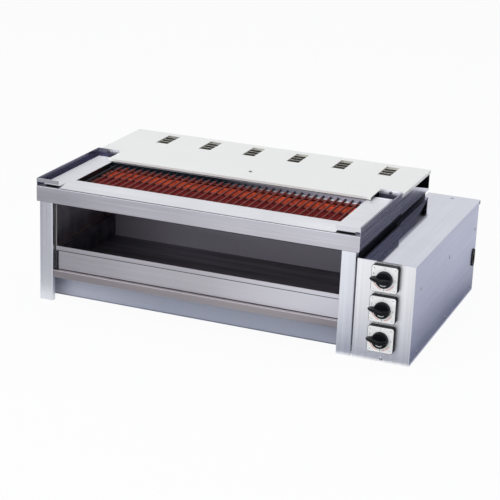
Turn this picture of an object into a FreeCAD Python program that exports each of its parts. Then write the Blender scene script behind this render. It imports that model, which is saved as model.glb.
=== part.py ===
import FreeCAD, Part
import math
import os

# Table-top electric fish roaster: a folded stainless body with a heater pit under a lift-off
# grate, a drip drawer that slides out of the front, a vented hood plate behind the pit and a
# control box with three rotary switches on the right.
# Millimetres. +X runs along the front to the control box, +Y points to the back, +Z is up.
# The origin is under the middle of the whole roaster, on the surface that it stands on.

Vector = FreeCAD.Vector
no_length = 1e-6            # a length or a turn below this counts as none

# ---- driving dimensions -------------------------------------------------------------------
sheet = 1.2                 # thickness of every folded sheet
bend_radius = 1.0           # inside radius of a fold
seat_gap = 0.3              # clearance between a moving piece and what it rests on

body_width = 774.0          # over the two side panels
body_depth = 550.0
apron_bottom = 240.0
apron_height = 38.0
apron_overhang = 7.0        # apron and end trays stand this far outside the side panels
apron_lip = 14.0
apron_corner = 6.0

post_width = 34.0
post_depth = 18.0
post_return = 12.0

tray_floor_height = 30.0    # top of the end trays' floors, above the apron's lower edge
tray_rim_height = 13.0      # the trays' walls, above the frame round the pit
tray_depth = 27.0           # the tray's back wall, behind the frame
tray_front_rim = 9.0        # height of the strip along the tray's front
tray_return_width = 57.0    # the strip and the back wall reach this far in from the outside
rear_cheek_flat = 77.0      # level part of the rear cheek's top, before it slopes down
rear_cheek_end = 3.0        # height left at the back end of the slope

frame_height = 5.0          # top of the frame round the pit, above the apron
frame_side_inset = 8.0
frame_side_start = 8.0
frame_front_start = 1.0
frame_slope_depth = 39.0
frame_rear_reach = 34.0     # rear member, behind the pit
pit_side_margin = 61.0      # side panel's outer face to the pit
pit_front_margin = 66.0
pit_depth = 185.0
pit_floor_height = 4.0      # lower edge of the pit's lining, below the apron's

rail_height = 3.2           # ledges that carry the grate, above the trays' floors
rail_width = 12.0
rail_leg = 7.0
grate_bar_diameter = 5.0
grate_pitch = 17.8
grate_end_gap = 1.5
grate_side_gap = 8.0
grate_cross_rods = 3
grate_weld_depth = 0.6

heaters_per_group = 3
heater_groups = ("front", "middle", "rear")
heater_diameter = 8.0
heater_pitch = 20.0
heater_height = 1.8         # top of the tubes' bushings, below the trays' floors
heater_left_inset = 24.0    # tube end, from the left side panel's outer face
heater_right_inset = 49.0
bushing_diameter = 14.0
bushing_length = 12.0
bushing_clearance = 0.05
stud_diameter = 4.0
stud_length = 12.0
nut_width = 7.0
nut_height = 3.0
strap_thickness = 1.5
strap_height = 12.0
heater_supports = 2
support_thickness = 2.0
support_bottom = 9.0        # brackets' lower edge, below the tubes' axis
notch_clearance = 0.1

hood_height = 7.0           # top of the hood plate, above the frame
hood_lip = 5.5
hood_side_lip = 8.0
hood_tongue_gap = 1.0       # hood's front edge, behind the pit
hood_return_gap = 1.0       # hood, clear of the trays' back walls
vent_count = 6
vent_width = 32.0
vent_length = 82.0
vent_shift = 11.0           # middle of the row of vents, right of the body's middle
vent_pitch = 118.0
vent_back_margin = 62.0     # back panel to the vents' centres
louvre_slats = 4
louvre_rail = 3.0
louvre_drop = 9.0
louvre_width = 14.0
louvre_tilt = 40.0
hood_bracket_width = 30.0
hood_bracket_depth = 20.0
hood_screw_offset = 12.0    # right of the body's middle

chamber_wall_inset = 4.0    # the chamber's walls, outside the posts' inner edges
chamber_front_inset = 20.0
chamber_wall_flange = 4.0
chamber_depth = 15.0        # the drawer's back rim to the chamber's bulkhead
runner_leg = 15.0
runner_width = 14.0

drawer_side_gap = 2.8       # runner to the pan's side
drawer_rim = 11.0
drawer_front_inset = 15.0
drawer_depth = 285.0
drawer_bottom = 10.0        # the drawer's underside, above the kick plate
drawer_height = 56.0
drawer_band = 11.0          # height of the grip band along the drawer's top

bottom_rail_inset = 4.0
bottom_rail_height = 18.5
bottom_rail_depth = 16.0
bottom_rail_gap = 1.5       # under the drawer
kick_inset = 48.0
kick_height = 66.5
kick_foot = 12.0

box_gap = 4.0               # body to control box
box_width = 131.0
box_height = 230.0
lid_tail = 12.0             # lid overhang at the back
lid_tail_drop = 12.0
box_return = 12.0
box_base_height = 4.0
box_base_flange = 26.0

switch_names = ("upper", "middle", "lower")
switch_inset = 1.5          # switches' axes, right of the box's middle
switch_top = 34.0           # axis of the upper switch, below the box's top
switch_pitch = 69.4
bezel_size = 60.0
bezel_depth = 14.0
bezel_corner = 6.0
dial_size = 58.0
dial_thickness = 1.0
dial_corner = 5.0
knob_radius = 17.5
knob_disc_height = 10.0
knob_edge_radius = 2.5
knob_height = 22.7
knob_bar_width = 8.0
knob_bar_length = 38.0
knob_bar_draft = 1.6
pointer_reach = 32.0
pointer_half_width = 9.0
pointer_tip_half_width = 1.6
pointer_height = 6.0
knob_socket_depth = 12.0
shaft_radius = 4.0
shaft_fit = 0.05            # running clearance of the shaft in the switch
shaft_passage = 6.0         # radius of the hole through the bezel, dial and front panel
shaft_in_switch = 30.0
cam_switch_size = 48.0
cam_switch_depth = 60.0

screw_head_radius = 4.0
screw_head_height = 1.6
screw_shank_radius = 2.0
screw_length = 3.6
screw_hole_clearance = 0.05
side_screw_low = 16.0
side_screw_high = 164.0
side_screw_columns = 3
side_screw_front = 56.0     # front face to the first column of screws
side_screw_back = 21.0      # last column of screws to the back face
mounting_rail_width = 28.0
mounting_rail_leg = 30.0
mounting_rail_inset = 36.0

gland_inset = 22.0          # back face to the cable gland's axis
gland_height = 92.0
gland_width = 24.0
gland_length = 44.0
gland_flange = 3.0
gland_groove = 3.0
gland_depth = 9.0
gland_bore_radius = 7.0

terminal_block_length = 70.0
terminal_block_depth = 26.0
terminal_block_height = 34.0    # over its barriers
terminal_base_height = 22.5
terminal_block_back = 120.0
terminal_poles = 3
loom_radius = 4.0
loom_bend = 12.0
loom_lead_gap = 8.0
supply_bend_start = 130.0   # the terminal block's front to the first loom's bend
bush_radius = 8.0
bush_clearance = 0.3
bush_overlap = 2.0
joining_bolt_radius = 3.0
joining_spacer_radius = 7.0
joining_head_radius = 5.5
joining_nut_width = 10.0
joining_head_height = 4.0
joining_low = 40.0
joining_high = 130.0
joining_inset = 90.0
earth_stud_radius = 2.5
earth_nut_width = 8.0
earth_stud_height = 22.0

# ---- places worked out from the dimensions --------------------------------------------------
dial_face = bezel_depth + dial_thickness
knob_reach = dial_face + seat_gap + knob_height
hood_overhang = apron_overhang + sheet
overall_width = hood_overhang + body_width + box_gap + box_width + gland_flange
overall_depth = knob_reach + body_depth + lid_tail

left = -overall_width / 2 + hood_overhang
right = left + body_width
middle = (left + right) / 2
front = -overall_depth / 2 + knob_reach
back = front + body_depth
box_left = right + box_gap
box_right = box_left + box_width
box_wall_top = box_height - sheet

apron_top = apron_bottom + apron_height
frame_top = apron_top + frame_height
tray_floor_top = apron_bottom + tray_floor_height
tray_rim_top = frame_top + tray_rim_height
hood_top = frame_top + hood_height
rail_top = tray_floor_top + rail_height
pit_floor = apron_bottom - pit_floor_height
post_front = front + sheet
panel_front = post_front + sheet + bend_radius
panel_inner = left + 2 * sheet
tray_underside = tray_floor_top - sheet
tray_left = left - apron_overhang
hood_underside = hood_top - sheet

pit_left = left + pit_side_margin
pit_right = right - pit_side_margin
pit_front = front + pit_front_margin
pit_back = pit_front + pit_depth
frame_underside = frame_top - sheet
frame_back = pit_back + frame_rear_reach
tray_back = frame_back + tray_depth

grate_radius = grate_bar_diameter / 2
grate_axis = rail_top + seat_gap + grate_radius
heater_radius = heater_diameter / 2
heater_axis = tray_underside - heater_height - bushing_diameter / 2
support_floor = heater_axis - support_bottom
heater_count = heaters_per_group * len(heater_groups)
heater_first = (pit_front + pit_back) / 2 - (heater_count - 1) * heater_pitch / 2
heater_left = left + heater_left_inset
heater_right = right - heater_right_inset

hood_front = pit_back + hood_tongue_gap
hood_wide_front = tray_back + hood_return_gap
vent_middle = back - vent_back_margin
vent_first = middle + vent_shift - (vent_count - 1) * vent_pitch / 2

kick_low = sheet + seat_gap
kick_top = kick_low + kick_height
chamber_left = left + post_width - chamber_wall_inset
chamber_front = front + chamber_front_inset
drawer_left = chamber_left + sheet + runner_width + drawer_side_gap
drawer_right = 2 * middle - drawer_left
drawer_front_face = front + drawer_front_inset
drawer_back = drawer_front_face + drawer_depth
chamber_back = drawer_back + drawer_rim + chamber_depth
drawer_floor = kick_top + drawer_bottom
drawer_top = drawer_floor + drawer_height
runner_top = drawer_top - sheet - seat_gap

switch_x = (box_left + box_right) / 2 + switch_inset
switch_axis = box_height - switch_top
switch_heights = [switch_axis - index * switch_pitch for index in range(len(switch_names))]
cam_switch_back = front + sheet + cam_switch_depth


# ---- building blocks ------------------------------------------------------------------------
def block(x0, x1, y0, y1, z0, z1):
    return Part.makeBox(x1 - x0, y1 - y0, z1 - z0, Vector(x0, y0, z0))


def rod(start, direction, radius, length):
    return Part.makeCylinder(radius, length, start, direction)


def joined(shapes):
    return shapes[0].multiFuse(shapes[1:]).removeSplitter()


def mirrored(shape):
    """The same piece on the body's other side."""
    return shape.mirror(Vector(middle, 0, 0), Vector(1, 0, 0))


def mirror_x(x):
    return 2 * middle - x


def save(node, shapes):
    solids = shapes if isinstance(shapes, list) else [shapes]
    shape = solids[0] if len(solids) == 1 else Part.makeCompound(solids)
    shape.exportStep("parts/" + node + ".step")


def rounded_wire(points, radii):
    """Closed outline in the XY plane, with an arc of its own radius at each corner."""
    edges = []
    starts = []
    ends = []
    for index, point in enumerate(points):
        before = points[index - 1]
        after = points[(index + 1) % len(points)]
        inward = point.sub(before).normalize()
        outward = after.sub(point).normalize()
        turn = inward.getAngle(outward)
        reach = radii[index] * math.tan(turn / 2)
        starts.append(point.sub(Vector(inward).multiply(reach)))
        ends.append(point.add(Vector(outward).multiply(reach)))
        if radii[index] > 0:
            bisector = Vector(outward).sub(inward).normalize()
            centre = point.add(Vector(bisector).multiply(radii[index] / math.cos(turn / 2)))
            crown = centre.sub(Vector(bisector).multiply(radii[index]))
            edges.append(Part.Arc(starts[-1], crown, ends[-1]).toShape())
    for index in range(len(points)):
        start = ends[index]
        end = starts[(index + 1) % len(points)]
        if start.distanceToPoint(end) > no_length:
            edges.append(Part.LineSegment(start, end).toShape())
    return Part.Wire(Part.sortEdges(edges)[0])


def rounded_plate(width, height, corner, thickness):
    """Plate in the XY plane, centred on the origin, standing on z = 0."""
    corners = [Vector(-width / 2, -height / 2), Vector(width / 2, -height / 2),
               Vector(width / 2, height / 2), Vector(-width / 2, height / 2)]
    return Part.Face(rounded_wire(corners, [corner] * 4)).extrude(Vector(0, 0, thickness))


def fold_outline(path):
    """Section of a sheet folded along a path of corner points on its middle line."""
    points = [Vector(*place) for place in path]
    half = sheet / 2
    sides = {1: [], -1: []}
    radii = {1: [], -1: []}
    for index, point in enumerate(points):
        inward = point.sub(points[index - 1]).normalize() if index else None
        outward = points[index + 1].sub(point).normalize() if index + 1 < len(points) else None
        inward = inward or outward
        outward = outward or inward
        normal_in = Vector(-inward.y, inward.x, 0)
        normal_out = Vector(-outward.y, outward.x, 0)
        miter = normal_in.add(normal_out).multiply(1 / (1 + normal_in.dot(normal_out)))
        turn = inward.cross(outward).z
        for side in (1, -1):
            sides[side].append(point.add(Vector(miter).multiply(half * side)))
            if abs(turn) < no_length:
                radii[side].append(0)
            else:
                radii[side].append(bend_radius if turn * side > 0 else bend_radius + sheet)
    outline = sides[1] + sides[-1][::-1]
    return rounded_wire(outline, radii[1] + radii[-1][::-1])


def folded_along_z(path, bottom, top):
    """Path points are (x, y)."""
    face = Part.Face(fold_outline(path))
    face.translate(Vector(0, 0, bottom))
    return face.extrude(Vector(0, 0, top - bottom))


def folded_along_x(path, start, end):
    """Path points are (y, z)."""
    face = Part.Face(fold_outline(path))
    face.rotate(Vector(0, 0, 0), Vector(1, 1, 1), 120)
    face.translate(Vector(start, 0, 0))
    return face.extrude(Vector(end - start, 0, 0))


def folded_along_y(path, start, end):
    """Path points are (x, z)."""
    face = Part.Face(fold_outline(path))
    face.rotate(Vector(0, 0, 0), Vector(1, 0, 0), 90)
    face.translate(Vector(0, start, 0))
    return face.extrude(Vector(0, end - start, 0))


def hexagon(start, direction, width, height):
    """Hexagonal nut along +X or -X."""
    radius = width / math.sqrt(3)
    corners = [start.add(Vector(0, radius * math.cos(angle), radius * math.sin(angle)))
               for angle in (math.radians(60 * step) for step in range(7))]
    return Part.Face(Part.makePolygon(corners)).extrude(Vector(direction.x * height, 0, 0))


def screw(face_point, outward, head_radius=screw_head_radius, length=screw_length):
    """Pan-head screw: its head stands on the face and its shank goes in."""
    head = rod(face_point, outward, head_radius, screw_head_height)
    head = head.makeFillet(screw_head_height / 2, [head.Edges[0]])
    shank = rod(face_point, outward.negative(), screw_shank_radius, length)
    return joined([head, shank])


def screw_hole(face_point, outward, length):
    radius = screw_shank_radius + screw_hole_clearance
    start = face_point.add(Vector(outward).multiply(sheet))
    return rod(start, outward.negative(), radius, length + 2 * sheet)


def loom(points):
    """Round sleeve of leads along straight runs joined by tangent arcs."""
    edges = []
    start = points[0]
    for index in range(1, len(points) - 1):
        corner = points[index]
        inward = corner.sub(points[index - 1]).normalize()
        outward = points[index + 1].sub(corner).normalize()
        enter = corner.sub(Vector(inward).multiply(loom_bend))
        leave = corner.add(Vector(outward).multiply(loom_bend))
        centre = enter.add(Vector(outward).multiply(loom_bend))
        bisector = corner.sub(centre).normalize()
        crown = centre.add(bisector.multiply(loom_bend))
        edges.append(Part.LineSegment(start, enter).toShape())
        edges.append(Part.Arc(enter, crown, leave).toShape())
        start = leave
    edges.append(Part.LineSegment(start, points[-1]).toShape())
    spine = Part.Wire(edges)
    direction = points[1].sub(points[0])
    section = Part.Wire(Part.makeCircle(loom_radius, points[0], direction))
    return spine.makePipeShell([section], True, False)


# ---- outer body -----------------------------------------------------------------------------
def side_panel():
    corners = [(panel_front, 0), (back, 0), (back, apron_bottom), (tray_back, apron_bottom),
               (tray_back, tray_underside), (panel_front, tray_underside)]
    outline = Part.makePolygon([Vector(left + sheet, y, z) for y, z in corners + corners[:1]])
    return Part.Face(outline).extrude(Vector(sheet, 0, 0))


def front_post():
    outer = left + sheet / 2
    inner = left + post_width - sheet / 2
    web = post_front + sheet / 2
    path = [(outer, post_front + post_depth), (outer, web), (inner, web), (inner, post_front + post_return)]
    return folded_along_z(path, 0, tray_underside)


def front_apron():
    """Channel across the front, with its lips cut back for the posts and the end trays."""
    face = front + sheet / 2
    path = [(front + apron_lip, apron_top - sheet / 2), (face, apron_top - sheet / 2),
            (face, apron_bottom + sheet / 2), (front + apron_lip, apron_bottom + sheet / 2)]
    apron = folded_along_x(path, left - apron_overhang, right + apron_overhang)
    behind = front + apron_lip + sheet
    tray_notch = block(tray_left, tray_left + 2 * sheet, front + sheet, behind, apron_bottom, apron_top)
    post_notch = block(tray_left, left + post_width + sheet, front + sheet, behind,
                       apron_bottom, apron_bottom + 3 * sheet)
    corner = block(tray_left, tray_left + apron_corner, front, front + sheet,
                   apron_bottom, apron_bottom + apron_corner)
    round_centre = Vector(tray_left + apron_corner, front, apron_bottom + apron_corner)
    corner = corner.cut(rod(round_centre, Vector(0, 1, 0), apron_corner, sheet))
    for cutter in (tray_notch, post_notch, corner):
        apron = apron.cut(cutter).cut(mirrored(cutter))
    return apron


def bottom_rail():
    face = front + bottom_rail_inset + sheet / 2
    rear = front + bottom_rail_inset + bottom_rail_depth
    top = drawer_floor - bottom_rail_gap - sheet / 2
    bottom = top - bottom_rail_height + sheet
    path = [(rear, top), (face, top), (face, bottom), (rear, bottom)]
    return folded_along_x(path, left + post_width, right - post_width)


def kick_plate():
    face = front + kick_inset + sheet / 2
    path = [(face, kick_top), (face, kick_low + sheet / 2),
            (front + kick_inset + kick_foot, kick_low + sheet / 2)]
    return folded_along_x(path, panel_inner, right - 2 * sheet)


def base_plate():
    return block(panel_inner, right - 2 * sheet, front + kick_inset, back - sheet, 0, sheet)


def rear_panel():
    return block(panel_inner, right - 2 * sheet, back - sheet, back, 0, apron_bottom)


# ---- end trays, pit frame and lining ----------------------------------------------------------
def end_tray():
    """Open tray over the heater terminals, with a wall outside and behind and a front strip."""
    inner = left - apron_overhang + tray_return_width
    side = block(tray_left, tray_left + sheet, front + sheet, tray_back, apron_bottom, tray_rim_top)
    floor = block(tray_left, pit_left - sheet, front + sheet, tray_back, tray_underside, tray_floor_top)
    rear = block(tray_left, inner, tray_back - sheet, tray_back, tray_underside, tray_rim_top)
    strip = block(tray_left, inner, front, front + sheet,
                  tray_rim_top - tray_front_rim, tray_rim_top)
    corner = block(tray_left, tray_left + sheet, front, front + 2 * sheet,
                   tray_rim_top - tray_front_rim, tray_rim_top)
    tray = joined([side, floor, rear, strip, corner])
    return tray.cut(screw_hole(return_screw_face(), Vector(0, -1, 0), sheet))


def return_screw_face():
    """Point on the front of the tray's back wall where its screw sits."""
    height = (frame_top + tray_rim_top) / 2
    return Vector(tray_left + tray_return_width / 2, tray_back - sheet, height)


def rear_cheek():
    """Side wall behind the end tray, on a flange over the side panel's top edge.

    Its own top follows the hood and then slopes down to the back.
    """
    slope_start = tray_back + rear_cheek_flat
    corners = [(tray_back, apron_bottom), (back, apron_bottom), (back, apron_bottom + rear_cheek_end),
               (slope_start, hood_underside), (tray_back, hood_underside)]
    outline = Part.makePolygon([Vector(tray_left, y, z) for y, z in corners + corners[:1]])
    wall = Part.Face(outline).extrude(Vector(sheet, 0, 0))
    flange = block(tray_left, panel_inner, tray_back, back - sheet, apron_bottom, apron_bottom + sheet)
    return joined([wall, flange])


def grill_frame():
    """Frame round the pit: it slopes down to the apron in front and stands on the end trays."""
    slope_end = front + frame_slope_depth
    path = [(front + frame_front_start, apron_top + sheet / 2), (slope_end, frame_top - sheet / 2),
            (pit_front, frame_top - sheet / 2)]
    strip_end = tray_left + tray_return_width
    front_member = folded_along_x(path, strip_end, mirror_x(strip_end))
    rear_member = block(pit_left, pit_right, pit_back, frame_back, frame_underside, frame_top)
    side_outer = left + frame_side_inset
    side_inner = side_outer + sheet
    plate = block(side_outer, pit_left, slope_end, frame_back, frame_underside, frame_top)
    wing = block(side_outer, strip_end, front + frame_side_start, slope_end, frame_underside, frame_top)
    foot = block(side_outer, side_inner, front + apron_lip + sheet, frame_back,
                 tray_floor_top, frame_underside)
    sides = [plate, wing, foot]
    return joined([front_member, rear_member] + sides + [mirrored(side) for side in sides])


def heater_places():
    """Y of each heating tube's axis, front to back."""
    return [heater_first + index * heater_pitch for index in range(heater_count)]


def pit_lining():
    """Four walls below the frame, pierced for the heaters' bushings."""
    outer = block(pit_left - sheet, pit_right + sheet, pit_front - sheet, pit_back + sheet,
                  pit_floor, frame_underside)
    inner = block(pit_left, pit_right, pit_front, pit_back, pit_floor, frame_underside)
    lining = outer.cut(inner)
    hole_radius = bushing_diameter / 2 + bushing_clearance
    for y in heater_places():
        start = Vector(pit_left - 2 * sheet, y, heater_axis)
        hole = rod(start, Vector(1, 0, 0), hole_radius, 4 * sheet)
        lining = lining.cut(hole).cut(mirrored(hole))
    return lining


def terminal_shelf():
    """Closes the terminal space from below, between the side panel and the pit's lining."""
    return block(panel_inner, pit_left - sheet, post_front + post_depth + sheet, tray_back,
                 pit_floor, pit_floor + sheet)


def grate_rails():
    """Two angles on the lining's front and back walls: the grate lies on them."""
    shelf = rail_top - sheet / 2
    front_path = [(pit_front + sheet / 2, shelf - rail_leg), (pit_front + sheet / 2, shelf),
                  (pit_front + rail_width, shelf)]
    rear_path = [(pit_back - sheet / 2, shelf - rail_leg), (pit_back - sheet / 2, shelf),
                 (pit_back - rail_width, shelf)]
    return [folded_along_x(path, pit_left, pit_right) for path in (front_path, rear_path)]


def grill_grate():
    """Bars from front to back, welded on rods that run across below them."""
    first = pit_left + grate_side_gap
    count = int((pit_right - grate_side_gap - first) / grate_pitch) + 1
    spare = pit_right - grate_side_gap - first - (count - 1) * grate_pitch
    length = pit_depth - 2 * grate_end_gap
    bars = []
    for index in range(count):
        x = first + spare / 2 + index * grate_pitch
        start = Vector(x, pit_front + grate_end_gap, grate_axis)
        bars.append(rod(start, Vector(0, 1, 0), grate_radius, length))
    cross_length = (count - 1) * grate_pitch + 2 * grate_bar_diameter
    cross_start = first + spare / 2 - grate_bar_diameter
    cross_height = grate_axis - grate_bar_diameter + grate_weld_depth
    cross_front = pit_front + rail_width + 2 * grate_bar_diameter
    cross_step = (pit_depth - 2 * rail_width - 4 * grate_bar_diameter) / (grate_cross_rods - 1)
    for index in range(grate_cross_rods):
        start = Vector(cross_start, cross_front + index * cross_step, cross_height)
        bars.append(rod(start, Vector(1, 0, 0), grate_radius, cross_length))
    return joined(bars)


# ---- heaters ----------------------------------------------------------------------------------
def heater_group(group):
    first = group * heaters_per_group
    places = heater_places()[first:first + heaters_per_group]
    return [rod(Vector(heater_left, y, heater_axis), Vector(1, 0, 0), heater_radius,
                heater_right - heater_left) for y in places]


def heater_bushings():
    """Ceramic sleeves that carry the tubes through the lining's end walls."""
    bushings = []
    for wall in (pit_left - sheet / 2, pit_right + sheet / 2):
        for y in heater_places():
            start = Vector(wall - bushing_length / 2, y, heater_axis)
            sleeve = rod(start, Vector(1, 0, 0), bushing_diameter / 2, bushing_length)
            bore = rod(start, Vector(1, 0, 0), heater_radius + bushing_clearance, bushing_length)
            bushings.append(sleeve.cut(bore))
    return bushings


def heater_studs():
    """A threaded stud with its nut on each end of each tube."""
    studs = []
    for end, direction in ((heater_left, Vector(-1, 0, 0)), (heater_right, Vector(1, 0, 0))):
        for y in heater_places():
            start = Vector(end, y, heater_axis)
            nut_start = start.add(Vector(direction).multiply(stud_length / 2))
            stud = rod(start, direction, stud_diameter / 2, stud_length)
            studs.append(joined([stud, hexagon(nut_start, direction, nut_width, nut_height)]))
    return studs


def star_straps():
    """Copper straps that join the left ends of each group of tubes, held by the nuts."""
    straps = []
    nut_face = heater_left - stud_length / 2
    for group in range(len(heater_groups)):
        first = group * heaters_per_group
        places = heater_places()[first:first + heaters_per_group]
        margin = nut_width
        strap = block(nut_face, nut_face + strap_thickness, places[0] - margin, places[-1] + margin,
                      heater_axis - strap_height / 2, heater_axis + strap_height / 2)
        for y in places:
            start = Vector(nut_face - sheet, y, heater_axis)
            strap = strap.cut(rod(start, Vector(1, 0, 0), stud_diameter / 2 + bushing_clearance,
                                  strap_thickness + 2 * sheet))
        straps.append(strap)
    return straps


def heater_brackets():
    """Notched plates across the pit that hold the tubes up between their ends."""
    brackets = []
    step = (pit_right - pit_left) / (heater_supports + 1)
    for index in range(heater_supports):
        x = pit_left + (index + 1) * step - support_thickness / 2
        plate = block(x, x + support_thickness, pit_front, pit_back, support_floor, heater_axis)
        for y in heater_places():
            start = Vector(x - sheet, y, heater_axis)
            plate = plate.cut(rod(start, Vector(1, 0, 0), heater_radius + notch_clearance,
                                  support_thickness + 2 * sheet))
        brackets.append(plate)
    return brackets


# ---- hood ---------------------------------------------------------------------------------------
def vent_places():
    return [vent_first + index * vent_pitch for index in range(vent_count)]


def hood_plate():
    """White plate behind the pit, with a tongue between the trays' back walls."""
    tongue_left = tray_left + tray_return_width + hood_return_gap
    wide_left = left - hood_overhang
    tongue = block(tongue_left, mirror_x(tongue_left), hood_front, hood_wide_front,
                   hood_underside, hood_top)
    wide = block(wide_left, mirror_x(wide_left), hood_wide_front, back, hood_underside, hood_top)
    lip = block(tongue_left, mirror_x(tongue_left), hood_front, hood_front + sheet,
                hood_top - hood_lip, hood_underside)
    side_lip = block(wide_left, wide_left + sheet, hood_wide_front, back,
                     hood_top - hood_side_lip, hood_underside)
    plate = joined([tongue, wide, lip, side_lip, mirrored(side_lip)])
    for x in vent_places():
        plate = plate.cut(block(x - vent_width / 2, x + vent_width / 2, vent_middle - vent_length / 2,
                                vent_middle + vent_length / 2, hood_underside, hood_top))
    return plate.cut(screw_hole(hood_screw_face(), Vector(0, 0, 1), sheet))


def hood_louvres():
    """A frame with tilted slats under each vent."""
    louvres = []
    outer_x = vent_width / 2 + louvre_rail
    outer_y = vent_length / 2 + louvre_rail
    pitch = vent_length / louvre_slats
    for x in vent_places():
        ring = block(x - outer_x, x + outer_x, vent_middle - outer_y, vent_middle + outer_y,
                     hood_underside - louvre_drop, hood_underside)
        ring = ring.cut(block(x - vent_width / 2, x + vent_width / 2, vent_middle - vent_length / 2,
                              vent_middle + vent_length / 2, hood_underside - louvre_drop, hood_underside))
        pieces = [ring]
        for index in range(louvre_slats):
            y = vent_middle - vent_length / 2 + (index + 0.5) * pitch
            slat = block(x - outer_x + louvre_rail / 2, x + outer_x - louvre_rail / 2,
                         y - louvre_width / 2, y + louvre_width / 2, -sheet / 2, sheet / 2)
            slat.rotate(Vector(x, y, 0), Vector(1, 0, 0), -louvre_tilt)
            slat.translate(Vector(0, 0, hood_underside - louvre_drop / 2))
            pieces.append(slat.common(block(x - outer_x, x + outer_x, vent_middle - outer_y,
                                            vent_middle + outer_y, hood_underside - louvre_drop,
                                            hood_underside)))
        louvres.append(joined(pieces))
    return louvres


def hood_back():
    return block(tray_left + sheet, mirror_x(tray_left + sheet), back - sheet, back,
                 apron_bottom, hood_underside)


def hood_screw_face():
    return Vector(middle + hood_screw_offset, chamber_back - hood_bracket_depth / 2, hood_top)


def hood_bracket():
    """Angle that stands on the chamber's bulkhead and takes the hood plate's screw."""
    place = hood_screw_face()
    leg = chamber_back + sheet / 2
    shelf = hood_underside - sheet / 2
    path = [(chamber_back - hood_bracket_depth, shelf), (leg, shelf), (leg, pit_floor)]
    bracket = folded_along_x(path, place.x - hood_bracket_width / 2, place.x + hood_bracket_width / 2)
    return bracket.cut(screw_hole(place, Vector(0, 0, 1), screw_length))


# ---- drawer and its chamber -----------------------------------------------------------------------
def chamber_wall():
    """Inner side wall, with a narrow flange that faces the front."""
    wall = chamber_left + sheet / 2
    path = [(chamber_left + sheet + chamber_wall_flange, chamber_front + sheet / 2),
            (wall, chamber_front + sheet / 2), (wall, chamber_back)]
    return folded_along_z(path, kick_top, pit_floor)


def chamber_bulkhead():
    return block(panel_inner, right - 2 * sheet, chamber_back, chamber_back + sheet,
                 sheet, pit_floor)


def drawer_runner():
    wall = chamber_left + sheet
    path = [(wall + sheet / 2, runner_top - runner_leg), (wall + sheet / 2, runner_top - sheet / 2),
            (wall + runner_width, runner_top - sheet / 2)]
    return folded_along_y(path, chamber_front + 2 * sheet, chamber_back)


def drip_pan():
    """Deep tray with a rim outside its side and back walls that runs on the runners."""
    body = block(drawer_left, drawer_right, drawer_front_face, drawer_back, drawer_floor, drawer_top)
    hollow = block(drawer_left + sheet, drawer_right - sheet, drawer_front_face + sheet,
                   drawer_back - sheet, drawer_floor + sheet, drawer_top)
    rim = block(drawer_left - drawer_rim, drawer_right + drawer_rim, drawer_front_face,
                drawer_back + drawer_rim, drawer_top - sheet, drawer_top)
    rim = rim.cut(block(drawer_left, drawer_right, drawer_front_face, drawer_back,
                        drawer_top - sheet, drawer_top))
    return joined([body.cut(hollow), rim])


def drawer_front():
    """Front sheet as wide as the pan's rims, with a grip band along its top."""
    outer_left = drawer_left - drawer_rim
    outer_right = drawer_right + drawer_rim
    panel = block(outer_left, outer_right, drawer_front_face - sheet, drawer_front_face,
                  drawer_floor, drawer_top)
    band = block(outer_left, outer_right, drawer_front_face - 2 * sheet,
                 drawer_front_face - sheet, drawer_top - drawer_band, drawer_top)
    return joined([panel, band])


# ---- control box ------------------------------------------------------------------------------------
def control_front():
    """Front sheet with returns inside the box's side walls."""
    face = block(box_left, box_right, front, front + sheet, 0, box_wall_top)
    left_return = block(box_left + sheet, box_left + 2 * sheet, front + sheet,
                        front + box_return, 0, box_wall_top)
    right_return = block(box_right - 2 * sheet, box_right - sheet, front + sheet,
                         front + box_return, 0, box_wall_top)
    panel = joined([face, left_return, right_return])
    for height in switch_heights:
        start = Vector(switch_x, front - sheet, height)
        panel = panel.cut(rod(start, Vector(0, 1, 0), shaft_passage, 4 * sheet))
    return panel


def side_screw_places():
    pitch = (body_depth - side_screw_front - side_screw_back) / (side_screw_columns - 1)
    columns = [front + side_screw_front + index * pitch for index in range(side_screw_columns)]
    return [Vector(box_right, y, z) for z in (side_screw_low, side_screw_high) for y in columns]


def gland_solid(width, length, start, thickness):
    """Oval slab across the box's right wall, with its long axis upright."""
    slab = rounded_plate(width, length, width / 2 - seat_gap, thickness)
    slab.rotate(Vector(0, 0, 0), Vector(1, 1, 1), 120)
    slab.translate(Vector(start, back - gland_inset, gland_height))
    return slab


def control_side():
    wall = block(box_right - sheet, box_right, front + sheet, back, 0, box_wall_top)
    for place in side_screw_places():
        wall = wall.cut(screw_hole(place, Vector(1, 0, 0), sheet))
    return wall.cut(gland_solid(gland_width - 2 * gland_groove, gland_length - 2 * gland_groove,
                                box_right - 2 * sheet, 3 * sheet))


def control_inner_wall():
    """Wall beside the body, with holes for the looms and the joining bolts."""
    wall = block(box_left, box_left + sheet, front + sheet, back - sheet, 0, box_wall_top)
    return wall.cut(loom_holes(box_left)).cut(joining_holes(box_left))


def control_back():
    return block(box_left, box_right - sheet, back - sheet, back, 0, box_wall_top)


def control_base():
    """Floor of the box, with flanges up its two side walls."""
    low = box_base_height + sheet / 2
    top = box_base_height + box_base_flange
    inner_left = box_left + sheet * 3 / 2
    inner_right = box_right - sheet * 3 / 2
    path = [(inner_left, top), (inner_left, low), (inner_right, low), (inner_right, top)]
    base = folded_along_y(path, front + box_return, back - sheet)
    for place in side_screw_places():
        base = base.cut(screw_hole(place, Vector(1, 0, 0), 2 * sheet))
    return base


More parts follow.
